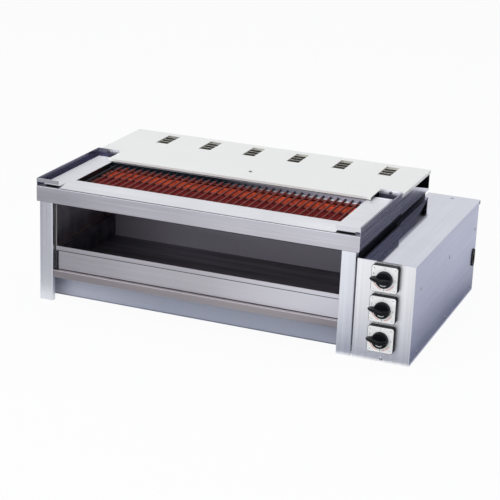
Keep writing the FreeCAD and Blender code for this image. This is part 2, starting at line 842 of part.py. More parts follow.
def control_lid():
    """Flat lid that overhangs the back and turns down there."""
    middle_line = box_wall_top + sheet / 2
    tail = back + lid_tail - sheet / 2
    path = [(front, middle_line), (tail, middle_line), (tail, box_height - lid_tail_drop)]
    lid = folded_along_x(path, box_left, box_right)
    return lid.cut(screw_hole(lid_screw_face(), Vector(0, 0, 1), sheet))


def lid_screw_face():
    return Vector((box_left + box_right) / 2, back - gland_inset / 2, box_height)


def lid_bracket():
    """Tapped lug on the back wall under the lid's screw."""
    place = lid_screw_face()
    lug = block(place.x - box_return, place.x + box_return, back - gland_inset, back - sheet,
                box_wall_top - screw_length, box_wall_top)
    return lug.cut(screw_hole(place, Vector(0, 0, 1), screw_length))


def mounting_rail():
    """Angle along the right wall that the upper screws hold; it carries the terminal block."""
    wall = box_right - sheet * 3 / 2
    low = side_screw_high - mounting_rail_width / 2 + sheet / 2
    path = [(wall, side_screw_high + mounting_rail_width / 2), (wall, low), (wall - mounting_rail_leg, low)]
    rail = folded_along_y(path, front + mounting_rail_inset, back - sheet)
    for place in side_screw_places():
        rail = rail.cut(screw_hole(place, Vector(1, 0, 0), 2 * sheet))
    return rail


def terminal_block():
    """Three-pole block with a raised barrier between its poles."""
    shelf = side_screw_high - mounting_rail_width / 2 + sheet
    outer = box_right - 2 * sheet - bend_radius
    rear = back - terminal_block_back
    lower = shelf + terminal_base_height
    body = block(outer - terminal_block_depth, outer, rear - terminal_block_length, rear, shelf, lower)
    barriers = []
    step = (terminal_block_length - 2 * sheet) / terminal_poles
    for index in range(terminal_poles + 1):
        start = rear - terminal_block_length + index * step
        barriers.append(block(outer - terminal_block_depth, outer, start, start + 2 * sheet,
                              shelf, shelf + terminal_block_height))
    return joined([body] + barriers)


def earth_stud():
    centre = Vector(box_left + box_width / 2, back - gland_inset - earth_stud_height,
                    box_base_height + sheet)
    bolt = rod(centre, Vector(0, 0, 1), earth_stud_radius, earth_stud_height)
    nut = hexagon(Vector(0, 0, 0), Vector(1, 0, 0), earth_nut_width, nut_height)
    nut.rotate(Vector(0, 0, 0), Vector(0, 1, 0), -90)
    nut.translate(centre)
    return joined([bolt, nut])


def cable_gland():
    """Rubber gland with a groove that grips the box's right wall and a bore for the lead."""
    inner = box_right - sheet - gland_depth
    outer = box_right + gland_flange
    neck_width = gland_width - 2 * gland_groove
    neck_length = gland_length - 2 * gland_groove
    flange = gland_solid(gland_width, gland_length, box_right, gland_flange)
    neck = gland_solid(neck_width, neck_length, box_right - sheet, sheet)
    inside = gland_solid(gland_width, gland_length, inner, gland_depth)
    gland = joined([flange, neck, inside])
    bore_start = Vector(inner, back - gland_inset, gland_height)
    return gland.cut(rod(bore_start, Vector(1, 0, 0), gland_bore_radius, outer - inner))


# ---- switches -------------------------------------------------------------------------------------
def switch_plate(size, corner, start, thickness, height):
    """Square plate in front of the control panel with a hole for the shaft."""
    plate = rounded_plate(size, size, corner, thickness)
    plate.rotate(Vector(0, 0, 0), Vector(1, 0, 0), 90)
    plate.translate(Vector(switch_x, front - start, height))
    hole = rod(Vector(switch_x, front - start, height), Vector(0, -1, 0), shaft_passage, thickness)
    return plate.cut(hole)


def switch_bezels():
    return [switch_plate(bezel_size, bezel_corner, 0, bezel_depth, height) for height in switch_heights]


def dial_plates():
    return [switch_plate(dial_size, dial_corner, bezel_depth, dial_thickness, height)
            for height in switch_heights]


def knob(height):
    """Round knob with a grip bar across it and a pointer that stands to the left at zero."""
    base = front - dial_face - seat_gap
    axis = Vector(0, -1, 0)
    centre = Vector(switch_x, base, height)
    disc = rod(centre, axis, knob_radius, knob_disc_height)
    outer_edges = [edge for edge in disc.Edges
                   if edge.BoundBox.YMax - edge.BoundBox.YMin < no_length
                   and edge.BoundBox.YMax < base - knob_edge_radius]
    disc = disc.makeFillet(knob_edge_radius, outer_edges)
    bar = grip_bar(base, height)
    nose_points = [Vector(switch_x, base, height - pointer_half_width),
                   Vector(switch_x - pointer_reach, base, height - pointer_tip_half_width),
                   Vector(switch_x - pointer_reach, base, height + pointer_tip_half_width),
                   Vector(switch_x, base, height + pointer_half_width)]
    nose = Part.Face(Part.makePolygon(nose_points + nose_points[:1])).extrude(Vector(0, -pointer_height, 0))
    socket = rod(centre, axis, shaft_radius, knob_socket_depth)
    return joined([disc, bar, nose]).cut(socket)


def grip_bar(base, height):
    """Bar with drafted sides, wider at its foot than at its crown."""
    sections = []
    for distance, inset in ((0, 0), (knob_height, knob_bar_draft)):
        half_length = knob_bar_length / 2 - inset
        half_width = knob_bar_width / 2 - inset
        corners = [Vector(switch_x - half_length, base - distance, height - half_width),
                   Vector(switch_x + half_length, base - distance, height - half_width),
                   Vector(switch_x + half_length, base - distance, height + half_width),
                   Vector(switch_x - half_length, base - distance, height + half_width)]
        sections.append(Part.makePolygon(corners + corners[:1]))
    return Part.makeLoft(sections, True, True)


def knob_shaft(height):
    """Spindle from the knob's socket into the switch."""
    start = front - dial_face - seat_gap - knob_socket_depth
    end = front + sheet + shaft_in_switch
    return rod(Vector(switch_x, start, height), Vector(0, 1, 0), shaft_radius, end - start)


def cam_switches():
    """Switch bodies behind the front panel, each with a blind bore for its shaft."""
    bodies = []
    half = cam_switch_size / 2
    for height in switch_heights:
        body = block(switch_x - half, switch_x + half, front + sheet, cam_switch_back,
                     height - half, height + half)
        bore = rod(Vector(switch_x, front + sheet, height), Vector(0, 1, 0),
                   shaft_radius + shaft_fit, shaft_in_switch + seat_gap)
        bodies.append(body.cut(bore))
    return bodies


# ---- wiring and joints between the body and the box ----------------------------------------------------
def group_middle(group):
    return heater_places()[group * heaters_per_group + heaters_per_group // 2]


def loom_holes(wall):
    """Cutter for the three loom holes through a wall that starts at x = wall."""
    holes = []
    for group in range(len(heater_groups)):
        start = Vector(wall - sheet, group_middle(group), switch_axis)
        holes.append(rod(start, Vector(1, 0, 0), bush_radius, 3 * sheet))
    return Part.makeCompound(holes)


def joining_places():
    columns = (front + joining_inset, back - joining_inset)
    return [(y, z) for y in columns for z in (joining_low, joining_high)]


def joining_holes(wall):
    radius = joining_bolt_radius + screw_hole_clearance
    holes = [rod(Vector(wall - sheet, y, z), Vector(1, 0, 0), radius, 3 * sheet)
             for y, z in joining_places()]
    return Part.makeCompound(holes)


def right_side_panel():
    panel = mirrored(side_panel())
    wall = right - 2 * sheet
    return panel.cut(loom_holes(wall)).cut(joining_holes(wall))


def loom_drop():
    """X where the looms go down beside the right terminals."""
    return heater_right + stud_length + loom_lead_gap + loom_bend


def right_terminal_shelf():
    """The right shelf also lets the looms down."""
    shelf = mirrored(terminal_shelf())
    for group in range(len(heater_groups)):
        start = Vector(loom_drop(), group_middle(group), pit_floor - sheet)
        shelf = shelf.cut(rod(start, Vector(0, 0, 1), loom_radius + bush_clearance, 3 * sheet))
    return shelf


def heater_looms():
    """One sleeve of leads per group, from the tubes' right ends to its switch."""
    looms = []
    lead_x = switch_x - cam_switch_size / 4
    for group, height in enumerate(switch_heights):
        y = group_middle(group)
        points = [Vector(heater_right + stud_length, y, heater_axis),
                  Vector(loom_drop(), y, heater_axis),
                  Vector(loom_drop(), y, switch_axis),
                  Vector(lead_x, y, switch_axis)]
        if group:
            points.append(Vector(lead_x, y, height))
        points.append(Vector(lead_x, cam_switch_back, height))
        looms.append(loom(points))
    return looms


def supply_looms():
    """Leads from the terminal block's front to the three switches."""
    looms = []
    lead_x = switch_x + cam_switch_size / 4
    block_front = back - terminal_block_back - terminal_block_length
    block_x = box_right - 2 * sheet - bend_radius - terminal_block_depth / 2
    block_z = side_screw_high - mounting_rail_width / 2 + sheet + terminal_base_height / 2
    for index, height in enumerate(switch_heights):
        bend_y = block_front - supply_bend_start + index * 2 * (loom_bend + loom_radius)
        x = block_x + (1 - index) * (2 * loom_radius + seat_gap)
        points = [Vector(lead_x, cam_switch_back, height), Vector(lead_x, bend_y, height),
                  Vector(lead_x, bend_y, block_z), Vector(x, bend_y, block_z),
                  Vector(x, block_front, block_z)]
        looms.append(loom(points))
    return looms


def wire_bushes():
    """Rubber sleeves for the looms, through the body's side and the box's inner wall."""
    bushes = []
    start_x = right - 2 * sheet - bush_overlap
    length = box_left + sheet + bush_overlap - start_x
    for group in range(len(heater_groups)):
        start = Vector(start_x, group_middle(group), switch_axis)
        sleeve = rod(start, Vector(1, 0, 0), bush_radius, length)
        bushes.append(sleeve.cut(rod(start, Vector(1, 0, 0), loom_radius + bush_clearance, length)))
    return bushes


def joining_spacers():
    length = box_left - (right - sheet)
    spacers = []
    for y, z in joining_places():
        start = Vector(right - sheet, y, z)
        spacer = rod(start, Vector(1, 0, 0), joining_spacer_radius, length)
        bore = rod(start, Vector(1, 0, 0), joining_bolt_radius + screw_hole_clearance, length)
        spacers.append(spacer.cut(bore))
    return spacers


def joining_bolts():
    """Bolts through the body's side, the spacers and the box's inner wall, with nuts."""
    bolts = []
    start_x = right - 2 * sheet
    end_x = box_left + sheet
    for y, z in joining_places():
        head = rod(Vector(start_x, y, z), Vector(-1, 0, 0), joining_head_radius, joining_head_height)
        shank = rod(Vector(start_x, y, z), Vector(1, 0, 0), joining_bolt_radius,
                    end_x + joining_head_height - start_x)
        nut = hexagon(Vector(end_x, y, z), Vector(1, 0, 0), joining_nut_width, nut_height)
        bolts.append(joined([head, shank, nut]))
    return bolts


# ---- write every node -----------------------------------------------------------------------------
def build():
    os.makedirs("parts", exist_ok=True)
    save("left_side_panel", side_panel())
    save("right_side_panel", right_side_panel())
    save("front_posts", [front_post(), mirrored(front_post())])
    save("front_apron", front_apron())
    save("bottom_rail", bottom_rail())
    save("kick_plate", kick_plate())
    save("base_plate", base_plate())
    save("rear_panel", rear_panel())

    save("left_end_tray", end_tray())
    save("right_end_tray", mirrored(end_tray()))
    save("rear_cheeks", [rear_cheek(), mirrored(rear_cheek())])
    save("grill_frame", grill_frame())
    save("pit_lining", pit_lining())
    save("terminal_shelves", [terminal_shelf(), right_terminal_shelf()])
    save("grate_rails", grate_rails())
    save("grill_grate", grill_grate())

    for index, name in enumerate(heater_groups):
        save(name + "_heaters", heater_group(index))
    save("heater_bushings", heater_bushings())
    save("heater_studs", heater_studs())
    save("star_straps", star_straps())
    save("heater_brackets", heater_brackets())

    save("hood_plate", hood_plate())
    save("hood_louvres", hood_louvres())
    save("hood_back", hood_back())
    save("hood_bracket", hood_bracket())
    return_screw = screw(return_screw_face(), Vector(0, -1, 0), length=sheet)
    save("hood_screws", [screw(hood_screw_face(), Vector(0, 0, 1)), return_screw, mirrored(return_screw)])

    save("chamber_walls", [chamber_wall(), mirrored(chamber_wall())])
    save("chamber_bulkhead", chamber_bulkhead())
    save("drawer_runners", [drawer_runner(), mirrored(drawer_runner())])
    save("drip_pan", drip_pan())
    save("drawer_front", drawer_front())

    save("control_front", control_front())
    save("control_side", control_side())
    save("control_inner_wall", control_inner_wall())
    save("control_back", control_back())
    save("control_base", control_base())
    save("control_lid", control_lid())
    save("lid_bracket", lid_bracket())
    save("mounting_rail", mounting_rail())
    save("terminal_block", terminal_block())
    save("earth_stud", earth_stud())
    save("cable_gland", cable_gland())
    side_screws = [screw(place, Vector(1, 0, 0)) for place in side_screw_places()]
    save("control_screws", side_screws + [screw(lid_screw_face(), Vector(0, 0, 1))])

    save("switch_bezels", switch_bezels())
    save("dial_plates", dial_plates())
    save("cam_switches", cam_switches())
    for name, height in zip(switch_names, switch_heights):
        save(name + "_knob", knob(height))
        save(name + "_shaft", knob_shaft(height))

    save("heater_looms", heater_looms())
    save("supply_looms", supply_looms())
    save("wire_bushes", wire_bushes())
    save("joining_spacers", joining_spacers())
    save("joining_bolts", joining_bolts())


build()
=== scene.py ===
import math

import bmesh
import bpy
from mathutils import Matrix, Vector


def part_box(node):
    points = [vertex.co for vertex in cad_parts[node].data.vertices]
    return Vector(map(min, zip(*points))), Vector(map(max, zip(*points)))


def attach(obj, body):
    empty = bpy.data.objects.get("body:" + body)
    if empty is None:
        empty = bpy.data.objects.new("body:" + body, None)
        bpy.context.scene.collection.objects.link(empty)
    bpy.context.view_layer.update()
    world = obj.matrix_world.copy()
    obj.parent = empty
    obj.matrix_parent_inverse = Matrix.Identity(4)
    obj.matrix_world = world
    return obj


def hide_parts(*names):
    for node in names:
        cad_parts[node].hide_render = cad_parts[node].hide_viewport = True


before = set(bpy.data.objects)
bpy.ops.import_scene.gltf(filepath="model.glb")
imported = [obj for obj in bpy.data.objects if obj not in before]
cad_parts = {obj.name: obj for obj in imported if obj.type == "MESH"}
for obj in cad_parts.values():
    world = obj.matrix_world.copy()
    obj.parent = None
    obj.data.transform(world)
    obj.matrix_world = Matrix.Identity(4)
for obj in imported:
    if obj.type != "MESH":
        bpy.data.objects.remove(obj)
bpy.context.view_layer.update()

# Looks of the electric fish roaster. Metres, +X along the front, +Y to the back, +Z up.

MM = 0.001
FRONT = (0, -1, 0)
BACK = (0, 1, 0)
SWITCHES = ("upper", "middle", "lower")

# ---- camera, in metres from the apron's face at the body's left front foot ---------------------
APRON_SHEET = 1.2 * MM          # the apron's face lies this far in front of the posts
CAMERA_OFFSET = Vector((1.7135, -3.0576, 1.3181))
CAMERA_AZIMUTH = math.radians(21.18)
CAMERA_ELEVATION = math.radians(18.72)
CAMERA_ROLL = math.radians(2.36)
CAMERA_LENS = 112.7
CAMERA_SENSOR = 36.0

# ---- sizes of the added pieces -----------------------------------------------------------------
SCREW_RADIUS = 4.0 * MM         # as the CAD screws' heads
SCREW_HEIGHT = 1.6 * MM
SCREW_SPIN = math.radians(37.0) # turn of each screw's recess against the one before
RECESS_LENGTH = 4.6 * MM
RECESS_WIDTH = 1.1 * MM
FRONT_SCREW_HEIGHT = 7.4 * MM   # of its axis over the ground
RIVET_RADIUS = 2.6 * MM
RIVET_HEIGHT = 1.0 * MM
RIVET_PITCH = 128.0 * MM
RIVET_MARGIN = 14.0 * MM
WELD_SIZE = (3.2 * MM, 3.0 * MM, 1.1 * MM)      # half lengths of a weld's flat bead

KNOB_RADIUS = 19.0 * MM
KNOB_SKIRT = 9.0 * MM           # height of the knob's skirt
SKIRT_DRAFT = 0.6 * MM          # the skirt is narrower by this much at its foot and its top
SKIRT_FOOT = 0.8 * MM
SKIRT_EDGE = 2.0 * MM           # rounding of the skirt's upper edge
DISH_RIM = 4.4 * MM             # the skirt's top is sunk inside this rim
DISH_DEPTH = 0.7 * MM
KNOB_CROWN = 22.7 * MM          # height of the grip
GRIP_HALF_WIDTH = 5.6 * MM
POINTER_TIP = 32.0 * MM         # the pointer's reach from the axis
POINTER_TAPER = 2.6 * MM        # loss of half width along the pointer
POINTER_FALL = 14.0 * MM        # loss of height along the pointer
GRIP_TAIL = 19.0 * MM           # the grip's reach on its other side
TAIL_TAPER = 1.2 * MM
TAIL_FALL = 7.0 * MM
HIGHLIGHT_RADIUS = 12.6 * MM         # painted highlight on the knob's skirt, under the grip: a light arc
HIGHLIGHT_WIDTH = 1.8 * MM
HIGHLIGHT_THICKNESS = 0.3 * MM
HIGHLIGHT_ARC = (-122, -58)          # degrees, from +X towards +Z

FIGURE_SIZE = 6.2 * MM
FIGURE_RADIUS = 24.4 * MM
FIGURE_THICKNESS = 0.05 * MM
# Across and up from the dial's centre, in figure radii. The 0 stands over the pointer at rest.
FIGURE_PLACES = {"0": (-1.0, 0.42), "1": (0.0, 1.0), "2": (1.0, 0.0), "3": (0.0, -1.0)}
RED_ARCS = ((-165, -105), (-78, -30))           # degrees, from +X towards +Z
RED_ARC_WIDTH = 1.6 * MM
RED_ARC_THICKNESS = 0.04 * MM
TICK_PLACE = 23.5 * MM          # of the dial's corner ticks, across and up from its centre
TICK_SIZE = (3.2 * MM, 0.02 * MM, 0.9 * MM)     # along X, Y and Z

SOFT_EDGE = 0.35 * MM           # rounding of sheet edges
BEZEL_EDGE = 1.2 * MM
SOFTENED = ("front_posts", "front_apron", "bottom_rail", "kick_plate", "left_end_tray", "right_end_tray",
            "rear_cheeks", "hood_plate", "control_front", "control_side", "control_lid", "drawer_front",
            "drip_pan", "cable_gland", "left_side_panel", "right_side_panel", "rear_panel", "hood_back")

# ---- places of painted light, shade and other tones --------------------------------------------
# Each pair says where a tone starts and where it is full: first as places along an axis, and then
# as distances from an edge, positive to the right, to the back and up.
DRAWER_PAINTED_LIGHT = (-0.02, 0.27)                 # painted light, along X
KICK_PAINTED_SHADE = (-0.36, -0.15)                   # painted shade, along X
LEDGE_PAINTED_LIGHT = (-0.10, 0.22)                 # painted light, along X
CHAMBER_LIGHTENS = (0.155, 0.190)               # along Z
GAP_PAINTED_LIGHT_DEPTH = (60.0 * MM, 35.0 * MM)       # painted light, from the control box's front
GAP_PAINTED_LIGHT_BELOW = (-8.0 * MM, -14.0 * MM)      # painted light, from the control box's lid
LEDGE_REAR = (-22.0 * MM, -20.0 * MM)           # painted light, from the pit's rear
LEDGE_TOP = (-2.0 * MM, -1.0 * MM)              # painted light, from the ledge's top
BARS_DARK_REFLECTION_REAR = (-14.0 * MM, -11.0 * MM)       # painted dark reflection, from the bars' rear ends
BARS_SHADE_LEFT = (30.0 * MM, 12.0 * MM)         # painted shade, from the grate's left end
SLOT_SHADE_END = (7.0 * MM, 6.0 * MM)            # painted shade where a slot would be, from the drawer front's left end
SLOT_SHADE_BELOW = (-1.0 * MM, -2.0 * MM)        # from the drawer's grip band
TRAY_SHADE_BELOW = (1.0 * MM, 0.0)               # painted shade, from where the trays' bright rims begin
TRAY_RIM = 2.5 * MM             # the trays are bright from this far over the frame, and painted in shade below
GRIP_BAND = 11.0 * MM           # height of the drawer's grip band
SHADE_LINE_BLUR = 0.3 * MM          # width over which a painted shade line fades
TURN_START = 0.5                # the normal's share of an axis from which a face looks along it,
TURN_FULL = 0.7                 # and from which it does so in full
FRONTWARD = (-0.4, -0.6)        # Y of the normal over which a face comes to look to the front
NOT_REARWARD = (0.6, 0.4)       # Y of the normal over which a face stops looking to the back

# ---- looks -------------------------------------------------------------------------------------
STEEL = (0.62, 0.63, 0.67)
ALONG_GRAIN = 3.0               # noise per metre of brushed steel
ACROSS_GRAIN = 420.0
GRAIN = {"X": (ALONG_GRAIN, ACROSS_GRAIN, ACROSS_GRAIN),
         "Y": (ACROSS_GRAIN, ALONG_GRAIN, ACROSS_GRAIN),
         "Z": (ACROSS_GRAIN, ACROSS_GRAIN, ALONG_GRAIN)}
END_GRAIN = {"X": "Z", "Y": "X", "Z": "X"}      # the grain of faces that look along the sheet's grain
STREAKS = {"X": (2.0, 30.0, 30.0), "Z": (30.0, 30.0, 4.0)}      # noise per metre of sooty steel
FLICKER = (55.0, 40.0, 40.0)    # noise per metre of the heaters' glow
WHITE_SHARE = 0.94              # how far the floor is plain white; the rest keeps the shadow
FLOOR_HALF = 15.0
WHITE = (1.0, 1.0, 1.0, 1.0)


# ---- node helpers ------------------------------------------------------------------------------
def new_material(name, **sockets):
    """Principled material with its constants set on the shader's own sockets."""
    material = bpy.data.materials.new(name)
    material.use_nodes = True
    surface = material.node_tree.nodes["Principled BSDF"]
    for socket, value in sockets.items():
        surface.inputs[socket.replace("_", " ")].default_value = value
    return material


def wired(tree, **sources):
    """Links outputs to the shader's sockets of these names."""
    surface = tree.nodes["Principled BSDF"]
    for socket, source in sources.items():
        tree.links.new(source, surface.inputs[socket.replace("_", " ")])


def add_node(tree, kind, **values):
    """A new node with values for its sockets, and for its own settings where it has no such socket."""
    node = tree.nodes.new(kind)
    for name, value in values.items():
        if name in node.inputs:
            node.inputs[name].default_value = value
        else:
            setattr(node, name, value)
    return node


def stretched(tree, stretch):
    """The part's own coordinates, in metres, each times its share of the stretch."""
    place = add_node(tree, "ShaderNodeTexCoord")
    mapping = add_node(tree, "ShaderNodeMapping", Scale=stretch)
    tree.links.new(place.outputs["Object"], mapping.inputs["Vector"])
    return mapping.outputs["Vector"]


def noise(tree, scale, detail=3.0, stretch=(1.0, 1.0, 1.0), place=None):
    """Noise over the part's own coordinates, or over a given place. Returns its value socket."""
    pattern = add_node(tree, "ShaderNodeTexNoise", Scale=scale, Detail=detail)
    tree.links.new(place or stretched(tree, stretch), pattern.inputs["Vector"])
    return pattern.outputs["Fac"]


def remap(tree, value, low, high, start=0.3, end=0.7):
    """A value's range from start to end, spread from low to high and held there beyond.

    Noise keeps mostly to the range from 0.3 to 0.7.
    """
    spread = add_node(tree, "ShaderNodeMapRange")
    spread.inputs["From Min"].default_value = start
    spread.inputs["From Max"].default_value = end
    spread.inputs["To Min"].default_value = low
    spread.inputs["To Max"].default_value = high
    tree.links.new(value, spread.inputs["Value"])
    return spread.outputs["Result"]


def mixer(tree, kind, share):
    """Mix of two colours (RGBA) or vectors by a share. Returns its two ends and its result."""
    mix = add_node(tree, "ShaderNodeMix", data_type=kind)
    tree.links.new(share, mix.inputs["Factor"])
    first, second = [socket for socket in mix.inputs if socket.type == kind and socket.name in ("A", "B")]
    result = [socket for socket in mix.outputs if socket.type == kind][0]
    return first, second, result


def blend_colours(tree, share, dark, light):
    """The dark colour where the share is 0, the light one where it is 1."""
    first, second, result = mixer(tree, "RGBA", share)
    first.default_value = (*dark, 1.0)
    second.default_value = (*light, 1.0)
    return result


def recolour(material, share, colour):
    """Turns the base colour to another one where the share is 1."""
    tree = material.node_tree
    before = tree.nodes["Principled BSDF"].inputs["Base Color"].links[0].from_socket
    first, second, result = mixer(tree, "RGBA", share)
    tree.links.new(before, first)
    second.default_value = (*colour, 1.0)
    wired(tree, Base_Color=result)


def bump(tree, height, strength, distance):
    """Fine relief of the surface."""
    relief = add_node(tree, "ShaderNodeBump", Strength=strength, Distance=distance)
    tree.links.new(height, relief.inputs["Height"])
    wired(tree, Normal=relief.outputs["Normal"])


def ramp(tree, axis, start, full, edge=0.0):
    """Share along the part's X, Y or Z: 0 at the first distance from the edge and 1 at the second."""
    place = add_node(tree, "ShaderNodeTexCoord")
    parts = add_node(tree, "ShaderNodeSeparateXYZ")
    tree.links.new(place.outputs["Object"], parts.inputs["Vector"])
    return remap(tree, parts.outputs[axis], 0.0, 1.0, edge + start, edge + full)


def faced(tree, axis, turned_away, turned_to):
    """Share of a face's turn towards an axis, spread between two values of the normal."""
    direction = add_node(tree, "ShaderNodeNewGeometry")
    parts = add_node(tree, "ShaderNodeSeparateXYZ")
    tree.links.new(direction.outputs["True Normal"], parts.inputs["Vector"])
    return remap(tree, parts.outputs[axis], 0.0, 1.0, turned_away, turned_to)


def turned(tree, axis, sign):
    """1 on faces that look along an axis, to its + or - side as the sign says."""
    return faced(tree, axis, sign * TURN_START, sign * TURN_FULL)


def joined(tree, operation, first, second):
    """Two shares joined by the given operation."""
    result = add_node(tree, "ShaderNodeMath", operation=operation)
    tree.links.new(first, result.inputs[0])
    tree.links.new(second, result.inputs[1])
    return result.outputs["Value"]


def both(tree, first, second):
    return joined(tree, "MULTIPLY", first, second)


def either(tree, first, second):
    return joined(tree, "MAXIMUM", first, second)


def scaled(colour, factor):
    return tuple(channel * factor for channel in colour)


# ---- materials ---------------------------------------------------------------------------------
def grained(tree, along):
    """Coordinates drawn out along the grain, which turns aside on faces that look along it."""
    ends = either(tree, turned(tree, along, 1.0), turned(tree, along, -1.0))
    plain, aside, result = mixer(tree, "VECTOR", ends)
    tree.links.new(stretched(tree, GRAIN[along]), plain)
    tree.links.new(stretched(tree, GRAIN[END_GRAIN[along]]), aside)
    return result


def brushed(name, colour=STEEL, along="X", roughness=(0.30, 0.46), metallic=1.0, smudge=0.16):
    """Rolled sheet with a fine grain along one axis, coarser streaks and faint handling marks."""
    material = new_material(name, Metallic=metallic)
    tree = material.node_tree
    place = grained(tree, along)
    grain = noise(tree, scale=1.0, detail=4.0, place=place)
    marks = remap(tree, noise(tree, scale=7.0, detail=4.0), 0.3, 1.0)
    streaks = remap(tree, noise(tree, scale=0.45, place=place), 0.2, 1.0)
    tone = blend_colours(tree, both(tree, marks, streaks), scaled(colour, 1.0 - smudge), colour)
    wired(tree, Base_Color=tone, Roughness=remap(tree, grain, *roughness))
    bump(tree, grain, strength=0.12, distance=0.06 * MM)
    return material


def tray_steel(name, outward):
    """Folded tray: bright along its upper rims, with painted shade low down and on the faces that look
    inwards, and a bluish painted shade on the faces that look outwards.

    Outward is 1.0 where the outside looks to +X and -1.0 where it looks to -X.
    """
    material = brushed(name, colour=(0.70, 0.71, 0.76), along="Y", roughness=(0.22, 0.34), metallic=0.95)
    tree = material.node_tree
    # Painted shade: below the rims, on the inward faces and, bluish, on the outward faces.
    low = ramp(tree, "Z", *TRAY_SHADE_BELOW, edge=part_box("grill_frame")[1].z + TRAY_RIM)
    recolour(material, low, (0.36, 0.36, 0.50))
    recolour(material, turned(tree, "X", -outward), (0.25, 0.25, 0.34))
    recolour(material, turned(tree, "X", outward), (0.62, 0.62, 0.75))
    return material


def sooty_steel(name, clean, burnt, along, metallic=0.5):
    """Sheet by the fire: streaks of fat and heat darken it."""
    material = new_material(name, Metallic=metallic, Specular_IOR_Level=0.1)
    tree = material.node_tree
    streaks = noise(tree, scale=1.0, detail=6.0, stretch=STREAKS[along])
    tone = blend_colours(tree, remap(tree, streaks, 0.0, 1.0), burnt, clean)
    wired(tree, Base_Color=tone, Roughness=remap(tree, streaks, 0.55, 0.38))
    bump(tree, streaks, strength=0.15, distance=0.2 * MM)
    return material


def shade_line(material, level, half_width, colour):
    """Painted shade: a dark line at one height, where shade falls between two folds or under an edge."""
    tree = material.node_tree
    above = ramp(tree, "Z", 0.0, SHADE_LINE_BLUR, edge=level - half_width)
    below = ramp(tree, "Z", 0.0, -SHADE_LINE_BLUR, edge=level + half_width)
    recolour(material, both(tree, above, below), colour)


def white_enamel():
    """The hood's coat, a little uneven."""
    material = new_material("white_enamel", Coat_Weight=0.35, Coat_Roughness=0.12)
    tree = material.node_tree
    orange_peel = noise(tree, scale=420.0, detail=2.0)
    patches = noise(tree, scale=5.0)
    tone = blend_colours(tree, remap(tree, patches, 0.0, 1.0), (0.88, 0.88, 0.86), (0.92, 0.92, 0.90))
    wired(tree, Base_Color=tone, Roughness=remap(tree, patches, 0.30, 0.40))
    bump(tree, orange_peel, strength=0.08, distance=0.1 * MM)
    return material


def hot_tube(name, cool, hot):
    """Sheathed heating tube at red heat, with an uneven glow."""
    material = new_material(name, Emission_Strength=1.0, Roughness=0.8, Specular_IOR_Level=0.1)
    tree = material.node_tree
    flicker = noise(tree, scale=1.0, stretch=FLICKER)
    glow = blend_colours(tree, remap(tree, flicker, 0.0, 1.0), cool, hot)
    scale = noise(tree, scale=900.0, detail=2.0)
    skin = blend_colours(tree, scale, (0.020, 0.006, 0.005), (0.050, 0.014, 0.010))
    wired(tree, Emission_Color=glow, Base_Color=skin)
    bump(tree, scale, strength=0.2, distance=0.1 * MM)
    return material


def wire(name, colour):
    """Drawn wire, dulled and tinted by heat."""
    material = new_material(name, Metallic=0.5, Specular_IOR_Level=0.2)
    tree = material.node_tree
    scale = noise(tree, scale=240.0, detail=4.0)
    tone = blend_colours(tree, remap(tree, scale, 0.0, 1.0), scaled(colour, 0.55), colour)
    wired(tree, Base_Color=tone, Roughness=remap(tree, scale, 0.75, 0.55))
    bump(tree, scale, strength=0.25, distance=0.2 * MM)
    return material


def moulded(name, colour, roughness, grain_scale=1500.0, grain=0.10, gloss=0.5):
    """Moulded plastic, rubber or ceramic with a fine surface texture."""
    material = new_material(name, Specular_IOR_Level=gloss)
    tree = material.node_tree
    texture = noise(tree, scale=grain_scale, detail=2.0)
    patches = noise(tree, scale=60.0, detail=2.0)
    tone = blend_colours(tree, patches, scaled(colour, 0.85), scaled(colour, 1.1))
    wired(tree, Base_Color=tone, Roughness=remap(tree, patches, roughness * 0.85, roughness * 1.15))
    bump(tree, texture, strength=grain, distance=0.08 * MM)
    return material


def woven_sleeve():
    """Woven sleeve of the leads."""
    material = new_material("woven_sleeve", Roughness=0.85)
    tree = material.node_tree
    place = add_node(tree, "ShaderNodeTexCoord")
    weave = add_node(tree, "ShaderNodeTexVoronoi", Scale=900.0)
    tree.links.new(place.outputs["Object"], weave.inputs["Vector"])
    threads = weave.outputs["Distance"]
    wired(tree, Base_Color=blend_colours(tree, threads, (0.62, 0.58, 0.48), (0.84, 0.81, 0.72)))
    bump(tree, threads, strength=0.4, distance=0.3 * MM)
    return material


def printed(name, colour):
    """Matt ink or paint."""
    material = new_material(name, Roughness=0.5)
    tree = material.node_tree
    patches = noise(tree, scale=2500.0, detail=2.0)
    wired(tree, Base_Color=blend_colours(tree, patches, scaled(colour, 0.9), colour))
    return material


# ---- mesh helpers --------------------------------------------------------------------------------
def piece(name, mesh, material, body, smooth=True):
    """A new object at the origin of the frame that rides on a body."""
    mesh.materials.clear()
    mesh.materials.append(material)
    if smooth:
        mesh.shade_smooth()
    thing = bpy.data.objects.new(name, mesh)
    bpy.context.scene.collection.objects.link(thing)
    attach(thing, body)
    return thing


def mesh_from(form, name):
    """The form as a mesh. The form is used up."""
    mesh = bpy.data.meshes.new(name)
    form.to_mesh(mesh)
    form.free()
    return mesh


def middle(low, high):
    """The point half way between two corners."""
    return (low + high) / 2


